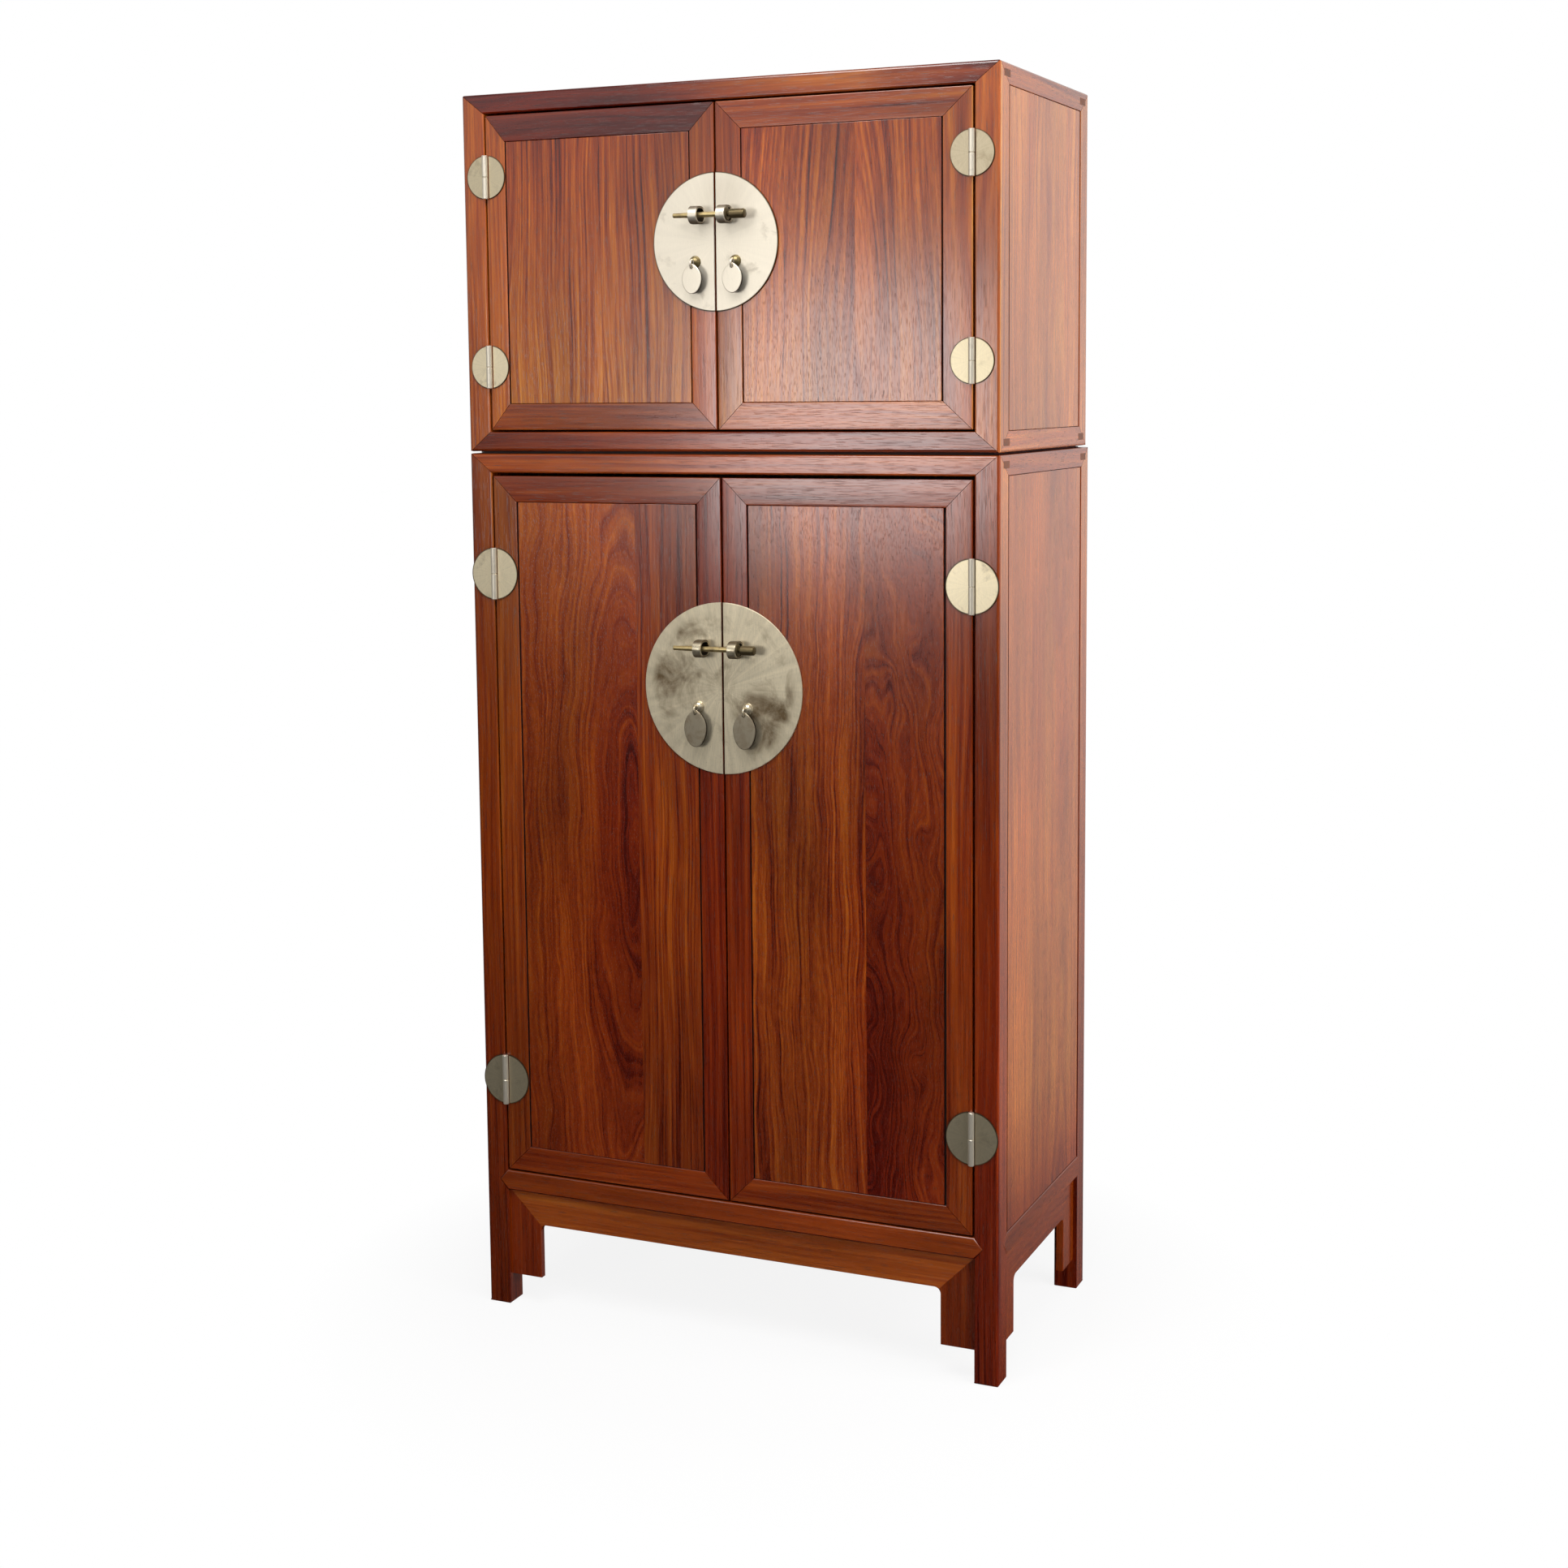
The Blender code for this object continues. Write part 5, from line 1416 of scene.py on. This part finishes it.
class CABINET_OT_doors(bpy.types.Operator):
    """Build the four doors: stiles, rails and a panel of two boards each"""
    bl_idname = "cabinet.doors"
    bl_label = "Doors"

    # The widths of each panel's two boards, and its shares of the shrinkage at the left and the right.
    PANELS = {
        "lower_left": ((0.655, 0.345), (1.2, 1.4)),
        "lower_right": ((0.595, 0.405), (1.1, 2.1)),
        "upper_left": ((0.52, 0.48), (1.0, 1.0)),
        "upper_right": ((0.57, 0.43), (0.8, 1.3)),
    }

    # Each member of a door's frame: the way it runs, the end of the door that it closes, and its name.
    MEMBERS = ((Z, -1, "left_stile"), (Z, 1, "right_stile"), (X, -1, "bottom_rail"), (X, 1, "top_rail"))

    def execute(self, context):
        sizes = context.scene.cabinet_joinery
        for name, (shares, shrunk) in self.PANELS.items():
            door = f"{name}_door"
            for axis, end, member in self.MEMBERS:
                self.build_member(sizes, door, axis, end, member)
            add_panel(f"{door}_panel", door, *PANEL_WOOD, (Y, -1), Z, shares,
                      [sizes.shrinkage * share for share in shrunk], door)
        return {"FINISHED"}

    def build_member(self, sizes, door, axis, end, member):
        node = f"{door}_frame"
        low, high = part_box(node)
        panel_low, panel_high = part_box(f"{door}_panel")
        reach = TONGUE - PANEL_CLEARANCE
        inset = Vector((reach, 0.0, reach))
        inner = {-1: panel_low + inset, 1: panel_high - inset}
        outer = {-1: low, 1: high}
        across = X if axis == Z else Z
        edge, rim = inner[end][across], outer[end][across]
        start, stop = low.copy(), high.copy()
        start[across], stop[across] = min(edge, rim), max(edge, rim)
        bm = box_mesh(start, stop)
        crown_face(bm, across, start[across], stop[across], low.y, sizes.door_crown)
        fallen = low.y + sizes.door_crown
        round_over(bm, edges_at(bm, axis, {across: rim, Y: fallen}), sizes.door_arris, 4)
        round_over(bm, edges_at(bm, axis, {across: edge, Y: fallen}), sizes.small_arris, 3)
        cut_through(bm, low + axis_vector(Y, DOOR_GROOVE_CUT), axis_vector(Y))
        keep = (start + stop) / 2
        for along_end in (-1, 1):
            inside, outside = axis_vector(across, edge), axis_vector(across, rim)
            inside[axis], outside[axis] = inner[along_end][axis], outer[along_end][axis]
            mitre(bm, Y, inside, outside, keep, sizes.mitre_gap)
        name = f"{door}_{member}"

        def own_tone(co):
            deep = co.y - low.y
            # The groove's wall is painted in shade.
            if abs(co[across] - edge) < TOUCH and DOOR_GROOVE_FROM < deep < DOOR_GROOVE_TO:
                return GROOVE_SHADE_TONE
            # A painted highlight along one stile's outer arris.
            at_rim = abs(co[across] - rim) < sizes.door_arris - TOUCH
            in_arris = at_rim and co.y < fallen + sizes.door_arris
            return STILE_HIGHLIGHT_TONE if name == HIGHLIGHTED_STILE and in_arris else None

        add_piece(name, bm, door, *FRAME_WOOD, [node], (axis, Y), own_tone=own_tone)


class CABINET_OT_hinges(bpy.types.Operator):
    """Build the eight round face hinges, each with two leaves and a barrel"""
    bl_idname = "cabinet.hinges"
    bl_label = "Hinges"

    def execute(self, context):
        for case in (LOWER, UPPER):
            for side in (LEFT, RIGHT):
                for level in ("top", "bottom"):
                    self.build_hinge(case, side, level)
        return {"FINISHED"}

    def build_hinge(self, case, side, level):
        name = f"{case.name}_{SIDE_NAMES[side]}_{level}_hinge"
        door = f"{case.name}_{SIDE_NAMES[side]}_door"
        joint = next(item for item in frame["joints"] if item["child"] == door)
        axis = Vector(joint["pos_m"])
        post_low, post_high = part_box(f"{name}_post_leaf")
        radius = (post_high.z - post_low.z) / 2
        axis.z = (post_high.z + post_low.z) / 2
        centre = Vector((axis.x, post_high.y, axis.z))
        half = radius - BARREL_INSET
        metal = HINGE_METALS.get(name, "rubbed_hinge_brass")
        ease = TURNED_EASE
        leaves = (("post_leaf", case.body, side, -half, -BARREL_GAP),
                  ("door_leaf", door, -side, BARREL_GAP, half))
        for leaf, body, out, start, end in leaves:
            node = f"{name}_{leaf}"
            bm = half_disc(centre, radius, out, LEAF_FROM_AXIS, HINGE_SEGMENTS)
            add_piece(f"{node}_plate", bm, body, "pale_brass", metal, [node], dial=(centre, radius))
            profile = [(start, 0.0), (start, KNUCKLE_RADIUS - ease), (start + ease, KNUCKLE_RADIUS),
                       (end - ease, KNUCKLE_RADIUS), (end, KNUCKLE_RADIUS - ease), (end, 0.0)]
            bm = turned(profile, axis, (0.0, 0.0, 1.0))
            add_piece(f"{node}_barrel", bm, body, "pale_brass", "rubbed_pale_brass", [node])


class CABINET_OT_locks(bpy.types.Operator):
    """Build both round lock plates with their staples, bosses, loops, pulls and bolts"""
    bl_idname = "cabinet.locks"
    bl_label = "Locks and pulls"

    def execute(self, context):
        for case in (LOWER, UPPER):
            for side in (LEFT, RIGHT):
                self.build_half(case.name, LOCKS[case.name], side)
            self.build_bolt(case.name, LOCKS[case.name])
        return {"FINISHED"}

    def seam(self, case_name):
        """The middle of a lock plate's back, half the gap between its halves, and its radius."""
        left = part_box(f"{case_name}_left_lock_plate")
        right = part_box(f"{case_name}_right_lock_plate")
        middle = (left[1].x + right[0].x) / 2
        place = Vector((middle, left[1].y, (left[0].z + left[1].z) / 2))
        return place, right[0].x - middle, right[1].x - middle

    def build_half(self, case_name, lock, side):
        name = f"{case_name}_{SIDE_NAMES[side]}"
        node = f"{name}_lock_plate"
        door = f"{name}_door"
        seam, half_gap, radius = self.seam(case_name)
        dull = lock.slot == "dull_brass"
        plain = f"rubbed_{lock.slot}"
        bm = half_disc(seam, radius, side, half_gap, LOCK_SEGMENTS)
        add_piece(f"{node}_disc", bm, door, lock.slot, "lower_plate_brass" if dull else plain, [node],
                  dial=(seam, radius))
        face = seam.y - PLATE_THICKNESS
        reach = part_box(node)[0].y
        half = STAPLE_HEIGHT / 2
        staple_at = seam + Vector((side * lock.staple_out, 0.0, lock.staple_up))

        def staple_reach(co):
            """Painted shade inside the eye and towards its top and foot, clean in front."""
            up = abs(co.z - staple_at.z)
            bent = max(0.0, reach + half - co.y, co.y - (face + STAPLE_SINK - half))
            if math.hypot(up, bent) < half - STAPLE_WALL + EYE_SLACK:
                return EYE_SHADE_REACH
            return STAPLE_REACH + STAPLE_SHADE_RISE * up / half

        add_piece(f"{node}_staple", self.staple(staple_at, face, reach), door, lock.slot, plain, [node],
                  reach=staple_reach)
        boss_at = Vector((seam.x + side * lock.boss_out, face, seam.z + lock.boss_up))
        bm = turned(self.boss_profile(), boss_at, (0.0, -1.0, 0.0))
        add_piece(f"{node}_boss", bm, door, lock.slot, plain if dull else "olive_boss_brass", [node])
        loop_at = boss_at + Vector((0.0, -(BOSS_HEIGHT + LOOP_RADIUS - LOOP_SINK), -LOOP_DROP))
        add_piece(f"{node}_loop", self.ring(loop_at), door, lock.slot, plain, [node])
        pull = f"{name}_pull"
        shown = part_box(pull)[0].y
        # The pendant's sides and back are painted in shade through their reach.
        add_piece(f"{pull}_pendant", self.pendant(pull, loop_at), pull, lock.slot,
                  "dark_pull_brass" if dull else plain, [pull],
                  reach=lambda co: PENDANT_SHADE_REACH if co.y > shown + PENDANT_SHADE_FROM else 0.0)

    def boss_profile(self):
        """Pairs of height and radius, from the middle of the back over the rim to the top of the dome."""
        dome = []
        for turn in map(math.radians, DOME_ANGLES):
            height = part_way(BOSS_FOOT, BOSS_HEIGHT, math.sin(turn))
            dome.append((height, DOME_RADIUS * math.cos(turn)))
        dome[-1] = (BOSS_HEIGHT, 0.0)
        rim = [(0.0, BOSS_RADIUS), (BOSS_RIM, BOSS_RADIUS), (BOSS_FOOT, BOSS_RADIUS - BOSS_STEP)]
        return [(0.0, 0.0), *rim, *dome]

    def staple(self, place, face, reach):
        """A strap bent to a long eye: out from the plate, round, back and round again."""
        bm = bmesh.new()
        outer = STAPLE_HEIGHT / 2
        bend = reach + outer
        foot = face + STAPLE_SINK - outer
        low = Vector((place.x - STAPLE_WIDTH / 2, foot, place.z - outer))
        wide, thick = axis_vector(X, STAPLE_WIDTH), axis_vector(Z, STAPLE_WALL)
        section = outline_face(bm, [low, low + wide, low + wide + thick, low + thick])
        leg = axis_vector(Y, bend - foot)
        front = extrude_faces(bm, [section], leg)
        back = self.bend_strap(bm, front, (place.x, bend, place.z))
        rear = extrude_faces(bm, back, -leg)
        last = self.bend_strap(bm, rear, (place.x, foot, place.z))
        inside = [face for face in [section, *front, *back, *rear, *last] if face.is_valid]
        bmesh.ops.delete(bm, geom=inside, context="FACES_ONLY")
        bmesh.ops.remove_doubles(bm, verts=bm.verts, dist=MERGE_WITHIN)
        bmesh.ops.recalc_face_normals(bm, faces=bm.faces)
        round_over(bm, sharp_edges(bm), STAPLE_EASE, 2)
        return bm

    def bend_strap(self, bm, ends, centre):
        """Bends a strap half a turn from its end and returns the new end."""
        around = bmesh.ops.spin(bm, geom=[*ends, *ends[0].edges, *ends[0].verts], cent=centre,
                                axis=(1.0, 0.0, 0.0), angle=-math.pi, steps=STAPLE_BEND_STEPS)
        return only(bmesh.types.BMFace, around["geom_last"])

    def ring(self, place):
        """A loop of wire that stands upright, across the plate's width."""
        bm = bmesh.new()
        lie = Matrix.Rotation(QUARTER_TURN, 4, "Y") @ Matrix.Rotation(QUARTER_TURN, 4, "X")
        top = Matrix.Translation(place + axis_vector(Z, LOOP_RADIUS)) @ lie
        bmesh.ops.create_circle(bm, segments=WIRE_SEGMENTS, radius=LOOP_WIRE, matrix=top)
        bmesh.ops.spin(bm, geom=[*bm.verts, *bm.edges], cent=place, axis=(1.0, 0.0, 0.0), angle=FULL_TURN,
                       steps=LOOP_STEPS, use_merge=True)
        bmesh.ops.remove_doubles(bm, verts=bm.verts, dist=MERGE_WITHIN)
        return bm

    def pendant(self, pull, loop_at):
        """A drop with a bevelled edge and a hole near its point."""
        low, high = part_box(pull)
        length, width = high.z - low.z, high.x - low.x
        middle = loop_at.z + PENDANT_RISE - length / 2
        bm = bmesh.new()
        steps = PENDANT_STEPS
        outline = []
        for step in range(steps):
            turn = FULL_TURN * step / steps
            pinch = 1.0 + PENDANT_PINCH * math.cos(turn / 2) ** 2
            across = math.copysign(abs(math.sin(turn)) ** pinch, math.sin(turn))
            outline.append(bm.verts.new((loop_at.x + width / 2 * across, low.y,
                                         middle + length / 2 * math.cos(turn))))
        rim = [bm.edges.new((outline[step - 1], outline[step])) for step in range(steps)]
        hole_z = loop_at.z - LOOP_RADIUS - LOOP_WIRE - HOLE_PLAY + PENDANT_HOLE
        hole_at = Vector((loop_at.x, low.y, hole_z))
        upright = Matrix.Translation(hole_at) @ Matrix.Rotation(QUARTER_TURN, 4, "X")
        hole = bmesh.ops.create_circle(bm, segments=steps, radius=PENDANT_HOLE, matrix=upright)
        hole_edges = list({edge for vert in hole["verts"] for edge in vert.link_edges})
        bmesh.ops.bridge_loops(bm, edges=[*rim, *hole_edges])
        extrude_faces(bm, list(bm.faces), axis_vector(Y, high.y - low.y))
        bmesh.ops.recalc_face_normals(bm, faces=bm.faces)
        outer = []
        for edge in sharp_edges(bm):
            far = max((vert.co - hole_at).xz.length for vert in edge.verts)
            if far > PENDANT_HOLE + HOLE_SLACK:
                outer.append(edge)
        round_over(bm, outer, PENDANT_EASE, 3)
        return bm

    def build_bolt(self, case_name, lock):
        name = f"{case_name}_bolt"
        low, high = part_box(name)
        seam = self.seam(case_name)[0]
        tail, stub = low.x - seam.x, high.x - seam.x
        out = lock.staple_out
        half = STAPLE_WIDTH / 2 + COLLAR_OVERHANG
        ease = TURNED_EASE
        rod = [(tail, 0.0), (tail, BOLT_TAIL - ease), (tail + ease, BOLT_TAIL), (-out, BOLT_ROD),
               (out - half + ease, BOLT_ROD), (out - half + ease, 0.0)]
        collar = [(out - half, 0.0), (out - half, BOLT_COLLAR - ease), (out - half + ease, BOLT_COLLAR),
                  (out + half - ease, BOLT_COLLAR), (out + half, BOLT_COLLAR - ease), (out + half, BOLT_ROD)]
        neck = [(out + half + NECK_LENGTH, BOLT_ROD + NECK_RISE), (out + half + STUB_FROM, BOLT_STUB)]
        head = [*collar, *neck, *((stub - back, BOLT_STUB - drop) for back, drop in STUB_END), (stub, 0.0)]
        place = Vector((seam.x, (low.y + high.y) / 2, (low.z + high.z) / 2))
        for part, profile, material in (("rod", rod, "rubbed_bolt_brass"), ("head", head, "dark_stub_brass")):
            bm = turned(profile, place, (1.0, 0.0, 0.0))
            add_piece(f"{name}_{part}", bm, name, "bolt_brass", material, [name])


class CABINET_OT_studio(bpy.types.Operator):
    """Set up the floor, the white backdrop, the softboxes and the camera"""
    bl_idname = "cabinet.studio"
    bl_label = "Studio"

    def execute(self, context):
        studio = context.scene.cabinet_studio
        context.scene.view_settings.view_transform = "Standard"
        self.build_world(context.scene, studio)
        self.build_floor(studio)
        self.build_camera(context.scene, studio)
        for name, softbox in SOFTBOXES.items():
            self.add_softbox(f"{name}_softbox", softbox, getattr(studio, f"{name}_power"))
        return {"FINISHED"}

    def build_world(self, scene, studio):
        """White for the camera; glossy rays see pale walls between a dark floor and a dim ceiling."""
        world = bpy.data.worlds.new("studio")
        scene.world = world
        world.use_nodes = True
        tree = world.node_tree
        tree.nodes.clear()
        path = add_node(tree, "ShaderNodeLightPath").outputs
        direction = add_node(tree, "ShaderNodeTexCoord").outputs["Generated"]
        parts = add_node(tree, "ShaderNodeSeparateXYZ", {0: direction}).outputs
        front_wall = between(tree, parts["Z"], *FRONT_WALL)
        back_wall = between(tree, parts["Z"], *BACK_WALL)
        behind = between(tree, parts["Y"], *WALLS_MEET)
        walls = add_node(tree, "ShaderNodeMix", {"Factor": behind, "A": front_wall, "B": back_wall})
        walls = reckon(tree, "MULTIPLY", walls.outputs[0], between(tree, parts["Z"], *CEILING))
        room = add_node(tree, "ShaderNodeBackground", {"Color": (1.0, 1.0, 1.0, 1.0),
                                                       "Strength": studio.room})
        seen = add_node(tree, "ShaderNodeBackground", {"Color": walls, "Strength": 1.0})
        white = add_node(tree, "ShaderNodeBackground", {"Color": (*studio.backdrop, 1.0), "Strength": 1.0})
        mirrored = reckon(tree, "MAXIMUM", path["Is Glossy Ray"], path["Is Transmission Ray"])
        inner = add_node(tree, "ShaderNodeMixShader", {0: mirrored, 1: room.outputs[0], 2: seen.outputs[0]})
        outer = add_node(tree, "ShaderNodeMixShader", {0: path["Is Camera Ray"], 1: inner.outputs[0],
                                                       2: white.outputs[0]})
        add_node(tree, "ShaderNodeOutputWorld", {"Surface": outer.outputs[0]})

    def build_floor(self, studio):
        """A round floor that fades from its shadow to the backdrop's white; glossy rays pass it by."""
        bm = bmesh.new()
        bmesh.ops.create_circle(bm, cap_ends=True, segments=64, radius=FLOOR_RADIUS,
                                matrix=Matrix.Translation(axis_vector(Z, -FLOOR_DROP)))
        mesh = bpy.data.meshes.new("studio_floor")
        bm.to_mesh(mesh)
        bm.free()
        floor = bpy.data.objects.new("studio_floor", mesh)
        bpy.context.scene.collection.objects.link(floor)
        floor.visible_glossy = False
        material = bpy.data.materials.new("white_floor")
        material.use_nodes = True
        tree = material.node_tree
        tree.nodes.clear()
        path = add_node(tree, "ShaderNodeLightPath").outputs
        place = add_node(tree, "ShaderNodeTexCoord").outputs["Object"]
        away = between(tree, vector_math(tree, "LENGTH", {0: place}), *FLOOR_WHITE)
        paper = add_node(tree, "ShaderNodeBsdfDiffuse", {"Color": (FLOOR_GREY, FLOOR_GREY, FLOOR_GREY, 1.0)})
        white = add_node(tree, "ShaderNodeEmission", {"Color": (*studio.backdrop, 1.0), "Strength": 1.0})
        share = reckon(tree, "MULTIPLY", path["Is Camera Ray"], away)
        surface = add_node(tree, "ShaderNodeMixShader", {0: share, 1: paper.outputs[0], 2: white.outputs[0]})
        add_node(tree, "ShaderNodeOutputMaterial", {"Surface": surface.outputs[0]})
        mesh.materials.append(material)

    def build_camera(self, scene, studio):
        data = bpy.data.cameras.new("camera")
        data.lens = studio.lens
        data.sensor_width = SENSOR_WIDTH
        data.shift_y = studio.rise
        camera = bpy.data.objects.new("camera", data)
        scene.collection.objects.link(camera)
        roll, pitch, heading = studio.camera_turn
        stand = Matrix.Translation(studio.camera_place) @ Matrix.Rotation(heading, 4, "Z")
        camera.matrix_world = stand @ Matrix.Rotation(pitch, 4, "X") @ Matrix.Rotation(roll, 4, "Z")
        scene.camera = camera

    def add_softbox(self, name, softbox, power):
        data = bpy.data.lights.new(name, "AREA")
        data.shape = "RECTANGLE"
        data.size, data.size_y = softbox.size
        data.energy = power
        light = bpy.data.objects.new(name, data)
        bpy.context.scene.collection.objects.link(light)
        light.visible_camera = False
        light.visible_glossy = softbox.mirrored
        light.location = softbox.place
        towards = Vector(softbox.target) - Vector(softbox.place)
        light.rotation_euler = towards.to_track_quat("-Z", "Y").to_euler()


class CABINET_PT_sidebar(bpy.types.Panel):
    """Lists the cabinet's settings and the steps that build it"""
    bl_idname = "CABINET_PT_sidebar"
    bl_label = "Compound Cabinet"
    bl_space_type = "VIEW_3D"
    bl_region_type = "UI"
    bl_category = "Cabinet"

    def draw(self, context):
        scene = context.scene
        for settings in (scene.cabinet_joinery, scene.cabinet_finish, scene.cabinet_studio):
            box = self.layout.box()
            for name in settings.__annotations__:
                box.prop(settings, name)
        for operator in OPERATORS:
            self.layout.operator(operator.bl_idname)


SETTINGS = {
    "cabinet_joinery": CabinetJoinery,
    "cabinet_finish": CabinetFinish,
    "cabinet_studio": CabinetStudio,
}
OPERATORS = (CABINET_OT_finishes, CABINET_OT_posts, CABINET_OT_case_rails, CABINET_OT_base_rails,
             CABINET_OT_aprons, CABINET_OT_case_panels, CABINET_OT_doors, CABINET_OT_hinges, CABINET_OT_locks,
             CABINET_OT_studio)
CLASSES = (*SETTINGS.values(), *OPERATORS, CABINET_PT_sidebar)


def register():
    for cls in CLASSES:
        bpy.utils.register_class(cls)
    for name, cls in SETTINGS.items():
        setattr(bpy.types.Scene, name, PointerProperty(type=cls))


def unregister():
    for name in SETTINGS:
        delattr(bpy.types.Scene, name)
    for cls in reversed(CLASSES):
        bpy.utils.unregister_class(cls)


def main():
    register()
    bpy.ops.cabinet.finishes()
    bpy.ops.cabinet.posts()
    bpy.ops.cabinet.case_rails()
    bpy.ops.cabinet.base_rails()
    bpy.ops.cabinet.aprons()
    bpy.ops.cabinet.case_panels()
    bpy.ops.cabinet.doors()
    bpy.ops.cabinet.hinges()
    bpy.ops.cabinet.locks()
    bpy.ops.cabinet.studio()


if __name__ == "__main__":
    main()
